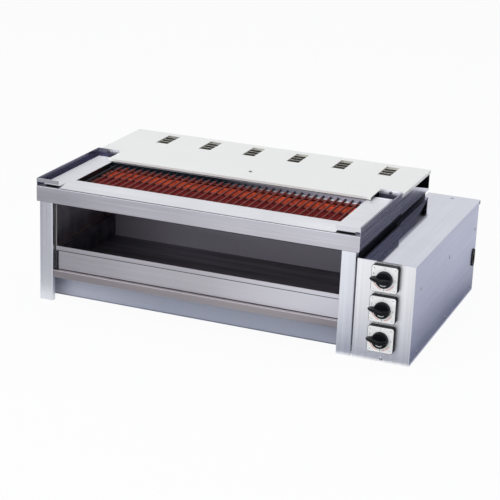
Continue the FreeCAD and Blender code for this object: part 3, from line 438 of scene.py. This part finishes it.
def lathe(profile, segments):
    """Closed solid of revolution about +Z through (radius, height) points, from axis to axis."""
    form = bmesh.new()
    angles = [2 * math.pi * step / segments for step in range(segments)]
    rings = []
    for radius, height in profile:
        if radius == 0.0:
            rings.append([form.verts.new((0, 0, height))])
        else:
            rings.append([form.verts.new((radius * math.cos(angle), radius * math.sin(angle), height))
                          for angle in angles])
    for lower, upper in zip(rings, rings[1:]):
        for step in range(segments):
            after = (step + 1) % segments
            corners = [lower[step % len(lower)], lower[after % len(lower)],
                       upper[after % len(upper)], upper[step % len(upper)]]
            unique = list(dict.fromkeys(corners))
            if len(unique) > 2:
                form.faces.new(unique)
    bmesh.ops.recalc_face_normals(form, faces=form.faces)
    return form


def facing(normal, origin):
    """Matrix that turns +Z to the normal and moves to the origin."""
    turn = Vector(normal).to_track_quat("Z", "Y").to_matrix().to_4x4()
    return Matrix.Translation(origin) @ turn


def many(form, matrices, name):
    """One mesh of copies of a form at each matrix."""
    single = mesh_from(form, name + "_single")
    whole = bmesh.new()
    for matrix in matrices:
        copy = single.copy()
        copy.transform(matrix)
        whole.from_mesh(copy)
        bpy.data.meshes.remove(copy)
    bpy.data.meshes.remove(single)
    return mesh_from(whole, name)


def cut_with(solid, cutter):
    """The first form with the second one taken away."""
    things = []
    for name, form in (("solid", solid), ("cutter", cutter)):
        thing = bpy.data.objects.new(name, mesh_from(form, name))
        bpy.context.scene.collection.objects.link(thing)
        things.append(thing)
    target, tool = things
    modifier = target.modifiers.new("cut", "BOOLEAN")
    modifier.operation = "DIFFERENCE"
    modifier.solver = "EXACT"
    modifier.object = tool
    graph = bpy.context.evaluated_depsgraph_get()
    result = bpy.data.meshes.new_from_object(target.evaluated_get(graph))
    form = bmesh.new()
    form.from_mesh(result)
    for thing in things:
        mesh = thing.data
        bpy.data.objects.remove(thing)
        bpy.data.meshes.remove(mesh)
    bpy.data.meshes.remove(result)
    return form


def dome(radius, height):
    """Profile of a low round head standing on z = 0."""
    steps = 5
    rim = height * 0.35
    points = [(0.0, 0.0), (radius, 0.0), (radius, rim)]
    for step in range(1, steps):
        angle = math.pi / 2 * step / steps
        points.append((radius * math.cos(angle), rim + (height - rim) * math.sin(angle)))
    points.append((0.0, height))
    return points


def arc_strip(radius, width, start, end, thickness):
    """Thin raised band along an arc in the XZ plane, its back on y = 0, facing the front."""
    steps = 24
    inner, outer = radius - width / 2, radius + width / 2
    form = bmesh.new()
    rings = []
    for step in range(steps + 1):
        angle = math.radians(start + (end - start) * step / steps)
        rings.append([form.verts.new((reach * math.cos(angle), depth, reach * math.sin(angle)))
                      for reach, depth in ((inner, 0), (outer, 0), (outer, -thickness), (inner, -thickness))])
    for lower, upper in zip(rings, rings[1:]):
        for side in range(4):
            after = (side + 1) % 4
            form.faces.new((lower[side], lower[after], upper[after], upper[side]))
    form.faces.new(rings[0])
    form.faces.new(rings[-1][::-1])
    bmesh.ops.recalc_face_normals(form, faces=form.faces)
    return form


def smooth_by_angle(thing, degrees):
    """Keeps creases sharper than the angle and smooths the rest."""
    form = bmesh.new()
    form.from_mesh(thing.data)
    limit = math.radians(degrees)
    for edge in form.edges:
        edge.smooth = len(edge.link_faces) != 2 or edge.calc_face_angle(0.0) < limit
    form.to_mesh(thing.data)
    form.free()


def soften(node, width=SOFT_EDGE, segments=2):
    """Rounds a carried-over node's sharp edges."""
    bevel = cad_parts[node].modifiers.new("soft_edge", "BEVEL")
    bevel.width = width
    bevel.segments = segments
    bevel.limit_method = "ANGLE"
    bevel.angle_limit = math.radians(50)
    bevel.harden_normals = False


def dress(material, *nodes):
    """Gives carried-over nodes a material."""
    for node in nodes:
        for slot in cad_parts[node].material_slots:
            slot.material = material


# ---- pieces --------------------------------------------------------------------------------------
def cross_head():
    """Pan head with a cross recess, standing on z = 0."""
    head = lathe(dome(SCREW_RADIUS, SCREW_HEIGHT), segments=32)
    cutter = bmesh.new()
    for length, width in ((RECESS_LENGTH, RECESS_WIDTH), (RECESS_WIDTH, RECESS_LENGTH)):
        size = Matrix.Diagonal((length, width, SCREW_HEIGHT, 1.0))
        lift = Matrix.Translation((0, 0, SCREW_HEIGHT))
        bmesh.ops.create_cube(cutter, size=1.0, matrix=lift @ size)
    return cut_with(head, cutter)


def solid_boxes(node):
    """Lowest and highest corner of each separate solid of a carried-over node, always in one order."""
    form = bmesh.new()
    form.from_mesh(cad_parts[node].data)
    bmesh.ops.remove_doubles(form, verts=form.verts, dist=1e-7)
    boxes = []
    waiting = set(form.verts)
    while waiting:
        front = [waiting.pop()]
        members = []
        while front:
            vertex = front.pop()
            members.append(vertex.co.copy())
            for edge in vertex.link_edges:
                other = edge.other_vert(vertex)
                if other in waiting:
                    waiting.remove(other)
                    front.append(other)
        low = Vector([min(place[axis] for place in members) for axis in range(3)])
        high = Vector([max(place[axis] for place in members) for axis in range(3)])
        boxes.append((low, high))
    form.free()
    return sorted(boxes, key=lambda corners: tuple(corners[0]))


def screw_places(node):
    """Seat and outward direction of each screw. Its axis is the one that isn't as long as its head is wide.

    Along X and Z the heads look to +, and along Y to the front.
    """
    places = []
    for low, high in solid_boxes(node):
        size = high - low
        axis = max(range(3), key=lambda index: abs(size[index] - 2 * SCREW_RADIUS))
        outward = Vector((0, 0, 0))
        outward[axis] = -1.0 if axis == 1 else 1.0
        seat = (low + high) / 2
        seat[axis] = (high[axis] - SCREW_HEIGHT) if outward[axis] > 0 else (low[axis] + SCREW_HEIGHT)
        places.append((seat, outward))
    return places


def screws(node, material):
    """Cross-recessed heads in place of a node of plain screws."""
    matrices = []
    for index, (seat, outward) in enumerate(screw_places(node)):
        matrices.append(facing(outward, seat) @ Matrix.Rotation(SCREW_SPIN * index, 4, "Z"))
    heads = piece(node + "_heads", many(cross_head(), matrices, node + "_heads"), material,
                  "roaster_body", smooth=False)
    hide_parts(node)


def front_screw(material):
    """The one screw on the control box's front, under the switches."""
    seat = Vector((middle(*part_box("lower_shaft")).x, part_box("control_front")[0].y, FRONT_SCREW_HEIGHT))
    head = many(cross_head(), [facing(FRONT, seat)], "front_screw")
    piece("front_screw", head, material, "roaster_body", smooth=False)


def knob_skirt():
    """Round skirt standing on z = 0, with a rounded edge and a dished top."""
    steps = 4
    narrow = KNOB_RADIUS - SKIRT_DRAFT
    shoulder = KNOB_SKIRT - SKIRT_EDGE
    dish = KNOB_SKIRT - DISH_DEPTH
    profile = [(0.0, 0.0), (narrow, 0.0), (KNOB_RADIUS, SKIRT_FOOT), (narrow, shoulder)]
    for step in range(1, steps + 1):
        angle = math.pi / 2 * step / steps
        profile.append((narrow - SKIRT_EDGE * (1 - math.cos(angle)), shoulder + SKIRT_EDGE * math.sin(angle)))
    profile += [(KNOB_RADIUS - DISH_RIM, dish), (0.0, dish)]
    return lathe(profile, segments=72)


def knob_grip():
    """Bar across the skirt: wide in the middle, with a long low pointer towards -X."""
    stations = 36
    around = 20
    form = bmesh.new()
    rings = []
    for station in range(stations + 1):
        share = station / stations
        x = -POINTER_TIP + (POINTER_TIP + GRIP_TAIL) * share
        if x < 0:
            reach, taper, fall = -x / POINTER_TIP, POINTER_TAPER, POINTER_FALL
        else:
            reach, taper, fall = x / GRIP_TAIL, TAIL_TAPER, TAIL_FALL
        end = math.sqrt(max(0.0, 1.0 - reach ** 6))     # closes the bar's rounded ends
        lean = reach ** 1.6                             # grows along the taper and the fall
        width = (GRIP_HALF_WIDTH - taper * lean) * (0.35 + 0.65 * end)
        crown = (KNOB_CROWN - fall * lean) * (0.55 + 0.45 * end)
        ring = []
        for step in range(around + 1):
            angle = math.pi * step / around
            side = math.copysign(abs(math.cos(angle)) ** 0.55, math.cos(angle))
            rise = math.sin(angle) ** 0.45 if 0 < step < around else 0.0
            flare = 1.0 + 0.25 * (1.0 - rise)           # the bar is wider at its foot
            ring.append(form.verts.new((x, width * side * flare, crown * rise)))
        rings.append(ring)
    for lower, upper in zip(rings, rings[1:]):
        for step in range(around):
            form.faces.new((lower[step], lower[step + 1], upper[step + 1], upper[step]))
        form.faces.new((lower[0], upper[0], upper[-1], lower[-1]))
    form.faces.new(rings[0])
    form.faces.new(rings[-1][::-1])
    bmesh.ops.recalc_face_normals(form, faces=form.faces)
    return form


def turn_to_left(place):
    """Angle that turns the form's -X to the frame's -X."""
    across = place.to_3x3() @ Vector((1, 0, 0))
    up = place.to_3x3() @ Vector((0, 1, 0))
    return math.atan2(up.dot(Vector((1, 0, 0))), across.dot(Vector((1, 0, 0))))


def knob(name, plastic, paint):
    """Skirt and grip in one moulding, and a painted highlight, a light arc on the skirt under the grip."""
    axis = middle(*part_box(name + "_shaft"))
    seat = Vector((axis.x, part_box(name + "_knob")[1].y, axis.z))
    place = facing(FRONT, seat)
    body = bmesh.new()
    for form in (knob_skirt(), knob_grip()):
        part = mesh_from(form, "part")
        body.from_mesh(part)
        bpy.data.meshes.remove(part)
    mesh = mesh_from(body, name + "_knob_moulding")
    mesh.transform(place @ Matrix.Rotation(turn_to_left(place), 4, "Z"))
    moulding = piece(name + "_knob_moulding", mesh, plastic, name + "_control")
    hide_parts(name + "_knob")
    smooth_by_angle(moulding, degrees=35)
    sunk = 0.1 * MM
    mesh = mesh_from(arc_strip(HIGHLIGHT_RADIUS, HIGHLIGHT_WIDTH, *HIGHLIGHT_ARC, HIGHLIGHT_THICKNESS), name + "_knob_highlight")
    mesh.transform(Matrix.Translation(seat - Vector((0, KNOB_SKIRT - DISH_DEPTH - sunk, 0))))
    piece(name + "_knob_highlight", mesh, paint, name + "_control", smooth=False)


def figure(text, centre, ink, name):
    """A figure printed on a dial plate: a very thin raised mesh facing the front."""
    curve = bpy.data.curves.new(name, "FONT")
    curve.body = text
    curve.size = FIGURE_SIZE
    curve.extrude = FIGURE_THICKNESS
    curve.align_x = "CENTER"
    curve.align_y = "CENTER"
    shape = bpy.data.objects.new(name + "_curve", curve)
    bpy.context.scene.collection.objects.link(shape)
    graph = bpy.context.evaluated_depsgraph_get()
    mesh = bpy.data.meshes.new_from_object(shape.evaluated_get(graph))
    bpy.data.objects.remove(shape)
    mesh.transform(Matrix.Translation(centre) @ Matrix.Rotation(math.pi / 2, 4, "X"))
    piece(name, mesh, ink, "roaster_body", smooth=False)


def dial_print(name, ink, red):
    """Figures at the four stops, two red arcs between them and a tick in each corner."""
    axis = middle(*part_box(name + "_shaft"))
    centre = Vector((axis.x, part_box("dial_plates")[0].y, axis.z))
    for text, (across, up) in FIGURE_PLACES.items():
        figure(text, centre + Vector((across, 0, up)) * FIGURE_RADIUS, ink, f"{name}_figure_{text}")
    for index, arc in enumerate(RED_ARCS):
        strip = arc_strip(FIGURE_RADIUS, RED_ARC_WIDTH, *arc, RED_ARC_THICKNESS)
        mesh = mesh_from(strip, f"{name}_dial_arc_{index}")
        mesh.transform(Matrix.Translation(centre))
        piece(f"{name}_dial_arc_{index}", mesh, red, "roaster_body", smooth=False)
    ticks = bmesh.new()
    for sign_x in (-1, 1):
        for sign_z in (-1, 1):
            spot = Matrix.Translation((sign_x * TICK_PLACE, 0, sign_z * TICK_PLACE))
            bmesh.ops.create_cube(ticks, size=1.0, matrix=spot @ Matrix.Diagonal((*TICK_SIZE, 1.0)))
    mesh = mesh_from(ticks, f"{name}_dial_ticks")
    mesh.transform(Matrix.Translation(centre))
    piece(f"{name}_dial_ticks", mesh, ink, "roaster_body", smooth=False)


def grate_welds(metal):
    """A small flat weld at each crossing of a bar with a cross rod."""
    close = 0.02 * MM
    low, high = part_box("grill_grate")
    form = bmesh.new()
    form.from_mesh(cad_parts["grill_grate"].data)
    bars = sorted({round(vertex.co.x, 4) for vertex in form.verts if high.z - vertex.co.z < close})
    rods = sorted({round(vertex.co.y, 4) for vertex in form.verts if vertex.co.z - low.z < close})
    form.free()
    bead = bmesh.new()
    bmesh.ops.create_icosphere(bead, subdivisions=1, radius=1.0)
    size = Matrix.Diagonal((*WELD_SIZE, 1.0))
    height = (low.z + high.z) / 2
    matrices = [Matrix.Translation((x, y, height)) @ size for x in bars for y in rods]
    piece("grate_welds", many(bead, matrices, "grate_welds"), metal, "grate")


def rivets(metal):
    """Blind rivets round the rear panel."""
    low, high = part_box("rear_panel")
    left, right = low.x + RIVET_MARGIN, high.x - RIVET_MARGIN
    bottom, top = low.z + RIVET_MARGIN, high.z - RIVET_MARGIN
    count = int((right - left) / RIVET_PITCH) + 1
    step = (right - left) / (count - 1)
    places = [(left + index * step, z) for index in range(count) for z in (bottom, top)]
    places += [(left, (bottom + top) / 2), (right, (bottom + top) / 2)]
    matrices = [facing(BACK, (x, high.y, z)) for x, z in places]
    head = lathe(dome(RIVET_RADIUS, RIVET_HEIGHT), segments=24)
    piece("rear_rivets", many(head, matrices, "rear_rivets"), metal, "roaster_body")


# ---- studio --------------------------------------------------------------------------------------
def looked_at(tree):
    """1 for rays from the camera, a reflection or glass, and 0 for rays that only gather light."""
    path = add_node(tree, "ShaderNodeLightPath")
    straight = either(tree, path.outputs["Is Camera Ray"], path.outputs["Is Glossy Ray"])
    return either(tree, straight, path.outputs["Is Transmission Ray"])


def studio_floor():
    """Floor that looks white and keeps the roaster's shadow."""
    form = bmesh.new()
    bmesh.ops.create_grid(form, x_segments=1, y_segments=1, size=FLOOR_HALF)
    mesh = mesh_from(form, "floor")
    material = bpy.data.materials.new("floor_white")
    material.use_nodes = True
    tree = material.node_tree
    tree.nodes.remove(tree.nodes["Principled BSDF"])
    paint = add_node(tree, "ShaderNodeBsdfDiffuse", Color=(0.86, 0.86, 0.87, 1.0))
    light = add_node(tree, "ShaderNodeEmission", Color=WHITE, Strength=1.0)
    share = add_node(tree, "ShaderNodeMath", operation="MULTIPLY")
    share.inputs[1].default_value = WHITE_SHARE
    mix = add_node(tree, "ShaderNodeMixShader")
    tree.links.new(looked_at(tree), share.inputs[0])
    tree.links.new(share.outputs["Value"], mix.inputs["Fac"])
    tree.links.new(paint.outputs["BSDF"], mix.inputs[1])
    tree.links.new(light.outputs["Emission"], mix.inputs[2])
    tree.links.new(mix.outputs["Shader"], tree.nodes["Material Output"].inputs["Surface"])
    mesh.materials.append(material)
    floor = bpy.data.objects.new("floor", mesh)
    bpy.context.scene.collection.objects.link(floor)


def studio_world():
    """White where the camera, metal and glass look; softer for the light that it gives."""
    world = bpy.data.worlds.new("studio")
    bpy.context.scene.world = world
    world.use_nodes = True
    tree = world.node_tree
    seen = tree.nodes["Background"]
    seen.inputs["Color"].default_value = WHITE
    seen.inputs["Strength"].default_value = 1.0
    given = add_node(tree, "ShaderNodeBackground", Color=(0.92, 0.95, 1.0, 1.0), Strength=0.45)
    mix = add_node(tree, "ShaderNodeMixShader")
    tree.links.new(looked_at(tree), mix.inputs["Fac"])
    tree.links.new(given.outputs["Background"], mix.inputs[1])
    tree.links.new(seen.outputs["Background"], mix.inputs[2])
    tree.links.new(mix.outputs["Shader"], tree.nodes["World Output"].inputs["Surface"])


def flag(name, corners, colour):
    """Dark cloth that only reflections see. Returns its material."""
    form = bmesh.new()
    form.faces.new([form.verts.new(corner) for corner in corners])
    mesh = mesh_from(form, name)
    material = new_material(name + "_cloth", Base_Color=(*colour, 1.0), Roughness=1.0, Specular_IOR_Level=0.0)
    mesh.materials.append(material)
    cloth = bpy.data.objects.new(name, mesh)
    bpy.context.scene.collection.objects.link(cloth)
    cloth.visible_camera = False
    cloth.visible_shadow = False
    cloth.visible_diffuse = False
    return material


def floor_flag(name, left, right, front, back, colour, **fades):
    """A flag on the floor. Each fade, along X or Y, says where it is whole and where it has gone."""
    corners = [(left, front, MM), (right, front, MM), (right, back, MM), (left, back, MM)]
    tree = flag(name, corners, colour).node_tree
    shares = [ramp(tree, axis, gone, whole) for axis, (whole, gone) in fades.items()]
    cover = shares[0] if len(shares) == 1 else both(tree, *shares)
    wired(tree, Alpha=cover)


def wall_flag(name, left, right, bottom, top, back, colour):
    """An upright flag behind the roaster."""
    corners = [(left, back, bottom), (right, back, bottom), (right, back, top), (left, back, top)]
    flag(name, corners, colour)


def softbox(name, place, target, size, energy):
    """A square lamp that looks at a point."""
    lamp = bpy.data.lights.new(name, "AREA")
    lamp.shape = "SQUARE"
    lamp.size = size
    lamp.energy = energy
    holder = bpy.data.objects.new(name, lamp)
    holder.location = place
    holder.rotation_euler = (Vector(target) - Vector(place)).to_track_quat("-Z", "Y").to_euler()
    bpy.context.scene.collection.objects.link(holder)


def camera():
    """The photo's camera, as recovered from the body's edges."""
    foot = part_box("front_posts")[0] - Vector((0, APRON_SHEET, 0))
    back = Vector((math.sin(CAMERA_AZIMUTH) * math.cos(CAMERA_ELEVATION),
                   -math.cos(CAMERA_AZIMUTH) * math.cos(CAMERA_ELEVATION), math.sin(CAMERA_ELEVATION)))
    right = Vector((0, 0, 1)).cross(back).normalized()
    up = back.cross(right)
    turned_right = right * math.cos(CAMERA_ROLL) + up * math.sin(CAMERA_ROLL)
    turned_up = up * math.cos(CAMERA_ROLL) - right * math.sin(CAMERA_ROLL)
    lens = bpy.data.cameras.new("camera")
    lens.lens = CAMERA_LENS
    lens.sensor_width = CAMERA_SENSOR
    eye = bpy.data.objects.new("camera", lens)
    axes = Matrix((turned_right, turned_up, back)).transposed().to_4x4()
    eye.matrix_world = Matrix.Translation(foot + CAMERA_OFFSET) @ axes
    bpy.context.scene.collection.objects.link(eye)
    bpy.context.scene.camera = eye


def studio():
    """Floor, world, dark flags for the metal to mirror, two lamps and the camera."""
    studio_floor()
    studio_world()
    floor_flag("left_flag", left=-2.15, right=-0.05, front=-1.7, back=-0.32,
               colour=(0.17, 0.17, 0.20), X=(-0.95, -0.05))
    floor_flag("right_flag", left=0.12, right=1.2, front=-0.9, back=-0.27,
               colour=(0.42, 0.44, 0.52), X=(0.24, 0.14), Y=(-0.27, -0.75))
    floor_flag("side_flag", left=0.46, right=0.75, front=-0.27, back=1.0,
               colour=(0.30, 0.32, 0.40), X=(0.46, 0.62), Y=(0.2, 0.95))
    wall_flag("back_flag", left=0.45, right=2.2, bottom=0.30, top=1.7, back=1.3, colour=(0.09, 0.09, 0.125))
    softbox("key", place=(-1.0, -3.6, 1.9), target=(0, 0, 0.15), size=3.3, energy=84.0)
    softbox("top", place=(0.2, 0.4, 3.2), target=(0, 0, 0.2), size=2.4, energy=25.0)
    camera()


# ---- dress the carried-over nodes ----------------------------------------------------------------
def dress_front():
    """Apron, posts, the control box's front, the rail and the kick plate under the drawer."""
    apron = brushed("steel_apron", colour=(0.55, 0.545, 0.60))
    # Painted shade line along the apron's top edge, under the frame.
    shade_line(apron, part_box("front_apron")[1].z, half_width=1.6 * MM, colour=(0.16, 0.16, 0.18))
    dress(apron, "front_apron")
    dress(brushed("steel_posts", colour=(0.76, 0.78, 0.84), along="Z"), "front_posts")
    dress(brushed("steel_box_front", colour=(0.86, 0.87, 0.90), along="Z"), "control_front")
    dress(brushed("steel_rail", colour=(0.31, 0.285, 0.305), metallic=0.85), "bottom_rail")
    kick = brushed("steel_kick", colour=(0.43, 0.45, 0.54), roughness=(0.45, 0.6), metallic=0.5)
    # Painted shade: the kick plate darkens towards its right end.
    recolour(kick, ramp(kick.node_tree, "X", *KICK_PAINTED_SHADE), (0.30, 0.32, 0.40))
    dress(kick, "kick_plate", "base_plate")


def dress_drawer():
    """The drawer's front, its pan and its runners.

    The front has painted light towards its right, a painted shade line under its grip band, and a band of
    painted shade at its left end that stands for a slot.
    """
    front = brushed("steel_drawer", colour=(0.49, 0.48, 0.525))
    tree = front.node_tree
    # Painted light: the front lightens towards its right.
    recolour(front, ramp(tree, "X", *DRAWER_PAINTED_LIGHT), (0.59, 0.59, 0.645))
    under_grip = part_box("drawer_front")[1].z - GRIP_BAND
    # Painted shade line under the grip band.
    shade_line(front, under_grip, half_width=1.3 * MM, colour=(0.10, 0.10, 0.11))
    # Painted shade: a near black band at the left end stands for a slot.
    leftmost = ramp(tree, "X", *SLOT_SHADE_END, edge=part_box("drawer_front")[0].x)
    below = ramp(tree, "Z", *SLOT_SHADE_BELOW, edge=under_grip)
    recolour(front, both(tree, leftmost, below), (0.035, 0.035, 0.045))
    dress(front, "drawer_front")
    # Painted shade: the pan is near black inside the body; its faces that look to the front are painted
    # lighter.
    pan = sooty_steel("steel_pan", (0.105, 0.105, 0.13), (0.035, 0.035, 0.042), "X", metallic=0.7)
    recolour(pan, faced(pan.node_tree, "Y", *FRONTWARD), (0.29, 0.28, 0.33))
    dress(pan, "drip_pan")
    runner = sooty_steel("steel_runner", (0.55, 0.40, 0.33), (0.25, 0.17, 0.15), "X", metallic=0.8)
    dress(runner, "drawer_runners")


def dress_sides():
    """Side walls, rear and the gap beside the control box, with painted shade inside the rear and in the gap,
    and painted light at the gap's front top.
    """
    # Painted shade: the box's side is a darker, bluer copy of its front's steel.
    dress(brushed("steel_box_side_shaded", colour=(0.49, 0.51, 0.67), along="Y"), "control_side")
    dress(brushed("steel_rear"), "control_back", "control_base")
    shaded_inside = brushed("steel_rear_shaded_inside")
    # Painted shade: all faces but those that look to the back are near black, as shade falls inside the body.
    recolour(shaded_inside, faced(shaded_inside.node_tree, "Y", *NOT_REARWARD), (0.02, 0.022, 0.03))
    dress(shaded_inside, "rear_panel", "hood_back", "hood_bracket")
    side = brushed("steel_side", colour=(0.56, 0.57, 0.64), along="Y")
    dress(side, "left_side_panel", "mounting_rail", "lid_bracket")
    # Painted shade: the sheets in the gap are near black; painted light brightens them near the box's front
    # and lid.
    gap = brushed("steel_gap", colour=(0.05, 0.05, 0.07), along="Y", roughness=(0.45, 0.6), metallic=0.5)
    tree = gap.node_tree
    frontmost = ramp(tree, "Y", *GAP_PAINTED_LIGHT_DEPTH, edge=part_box("control_front")[0].y)
    below = ramp(tree, "Z", *GAP_PAINTED_LIGHT_BELOW, edge=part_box("control_lid")[1].z)
    recolour(gap, both(tree, frontmost, below), (0.85, 0.86, 0.90))
    dress(gap, "right_side_panel", "control_inner_wall")


def dress_top():
    """The frame round the pit, the control box's lid, the end trays and the hood."""
    rim = brushed("steel_frame", colour=(0.71, 0.72, 0.76), roughness=(0.34, 0.50))
    # Painted shade: the frame's faces that look to the front are darker than its top.
    recolour(rim, faced(rim.node_tree, "Y", *FRONTWARD), (0.46, 0.46, 0.51))
    dress(rim, "grill_frame")
    dress(brushed("steel_lid", colour=(0.60, 0.62, 0.71), along="Y", roughness=(0.05, 0.09)), "control_lid")
    dress(tray_steel("steel_left_tray", outward=-1.0), "left_end_tray")
    right_tray = tray_steel("steel_right_tray", outward=1.0)
    # Painted shadow: a near black line along the right tray's bottom edge, under its overhang.
    shade_line(right_tray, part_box("right_end_tray")[0].z, half_width=5.0 * MM, colour=(0.010, 0.010, 0.014))
    dress(right_tray, "right_end_tray")
    dress(brushed("steel_cheek", colour=(0.62, 0.62, 0.75), along="Y", roughness=(0.22, 0.34)), "rear_cheeks")
    dress(white_enamel(), "hood_plate")
    dress(sooty_steel("steel_louvre", (0.80, 0.79, 0.73), (0.38, 0.37, 0.34), "X"), "hood_louvres")


def dress_chamber():
    """Bulkhead, side walls and terminal shelves. The walls are near black with painted shade, with lighter
    patches near their top and painted light on their faces that look to the front.
    """
    bulkhead = sooty_steel("steel_chamber", (0.62, 0.61, 0.69), (0.30, 0.30, 0.34), "X", metallic=0.7)
    dress(bulkhead, "chamber_bulkhead")
    # Painted shade: the side walls' dark tone; faces that look to the front are painted lighter.
    walls = sooty_steel("steel_chamber_side", (0.16, 0.16, 0.185), (0.045, 0.045, 0.055), "Z")
    tree = walls.node_tree
    patches = remap(tree, noise(tree, scale=9.0, detail=5.0), 0.25, 1.0)
    recolour(walls, both(tree, ramp(tree, "Z", *CHAMBER_LIGHTENS), patches), (0.44, 0.44, 0.50))
    recolour(walls, faced(tree, "Y", *FRONTWARD), (0.75, 0.72, 0.70))
    dress(walls, "chamber_walls", "terminal_shelves")


def dress_pit():
    """The pit's sooty lining and ledge, near black with painted shade, whose rear has painted light towards
    the right, the grate and the heaters.
    """
    lining = sooty_steel("steel_pit", (0.010, 0.016, 0.022), (0.004, 0.006, 0.008), "X", metallic=0.2)
    ledge = sooty_steel("steel_ledge", (0.10, 0.11, 0.14), (0.04, 0.045, 0.06), "X", metallic=0.6)
    # Painted light: the rear of the lining and of the ledge turns bright towards the right; their near black
    # tone is painted shade.
    for material, painted_light in ((lining, (0.40, 0.38, 0.46)), (ledge, (0.95, 0.96, 1.0))):
        tree = material.node_tree
        rightwards = ramp(tree, "X", *LEDGE_PAINTED_LIGHT)
        rearwards = ramp(tree, "Y", *LEDGE_REAR, edge=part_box("pit_lining")[1].y)
        upwards = ramp(tree, "Z", *LEDGE_TOP, edge=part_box("grate_rails")[1].z)
        recolour(material, both(tree, upwards, both(tree, rightwards, rearwards)), painted_light)
    dress(lining, "pit_lining")
    dress(ledge, "grate_rails")
    bars = wire("heat_reddened_wire", (0.24, 0.050, 0.044))
    tree = bars.node_tree
    left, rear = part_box("grill_grate")[0].x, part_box("grill_grate")[1].y
    # Painted dark reflection on the bars' rear ends, and painted shade at their left end.
    recolour(bars, ramp(tree, "Y", *BARS_DARK_REFLECTION_REAR, edge=rear), (0.020, 0.024, 0.040))
    recolour(bars, ramp(tree, "X", *BARS_SHADE_LEFT, edge=left), (0.012, 0.014, 0.020))
    dress(bars, "grill_grate")
    dress(wire("bracket_scale", (0.10, 0.05, 0.045)), "heater_brackets")
    glow = {"front": ((0.100, 0.005, 0.008), (0.180, 0.010, 0.014)),
            "middle": ((0.060, 0.003, 0.005), (0.140, 0.009, 0.010)),
            "rear": ((0.120, 0.008, 0.006), (0.480, 0.065, 0.022))}
    for group, (cool, hot) in glow.items():
        dress(hot_tube("hot_tube_" + group, cool, hot), group + "_heaters")
    ceramic = moulded("ceramic", (0.085, 0.045, 0.040), roughness=0.6, grain_scale=700.0, gloss=0.2)
    dress(ceramic, "heater_bushings")


def dress_fittings(zinc):
    """Plastic, rubber, sleeves, straps and small metal parts."""
    rubber = moulded("black_rubber", (0.008, 0.008, 0.010), roughness=0.6, grain_scale=1200.0, grain=0.2,
                     gloss=0.2)
    dress(rubber, "cable_gland", "wire_bushes")
    dress(moulded("switch_grey", (0.30, 0.31, 0.32), roughness=0.45), "cam_switches")
    dress(woven_sleeve(), "heater_looms", "supply_looms")
    bezel = moulded("bezel_plastic", (0.004, 0.004, 0.006), roughness=0.55, gloss=0.12)
    dress(bezel, "switch_bezels", "terminal_block")
    plate = moulded("white_plate", (0.93, 0.93, 0.92), roughness=0.42, grain_scale=900.0, grain=0.03)
    dress(plate, "dial_plates")
    dress(zinc, "heater_studs", "earth_stud", "joining_spacers", "joining_bolts",
          "upper_shaft", "middle_shaft", "lower_shaft")
    dress(brushed("copper", colour=(0.72, 0.40, 0.24), along="Y"), "star_straps")


def add_pieces(zinc):
    """The pieces that scene.py adds or puts in place of plain CAD ones."""
    screws("control_screws", zinc)
    screws("hood_screws", brushed("dull_zinc", colour=(0.14, 0.14, 0.16), roughness=(0.4, 0.6)))
    plastic = moulded("black_plastic", (0.003, 0.004, 0.006), roughness=0.32, gloss=0.15)
    # Painted highlight: a light arc on each knob's skirt stands for the sheen under its grip.
    highlight_ink = printed("knob_highlight_paint", (0.62, 0.64, 0.64))
    ink = printed("black_ink", (0.05, 0.05, 0.06))
    red = printed("red_ink", (0.80, 0.34, 0.28))
    for name in SWITCHES:
        knob(name, plastic, highlight_ink)
        dial_print(name, ink, red)
    front_screw(zinc)
    grate_welds(wire("weld_metal", (0.22, 0.09, 0.08)))
    rivets(zinc)


def main():
    bpy.context.scene.view_settings.view_transform = "Standard"
    zinc = brushed("zinc", colour=(0.42, 0.43, 0.48), roughness=(0.25, 0.40))
    dress_front()
    dress_drawer()
    dress_sides()
    dress_top()
    dress_chamber()
    dress_pit()
    dress_fittings(zinc)
    for node in SOFTENED:
        soften(node)
    soften("switch_bezels", BEZEL_EDGE, segments=3)
    add_pieces(zinc)
    studio()


main()
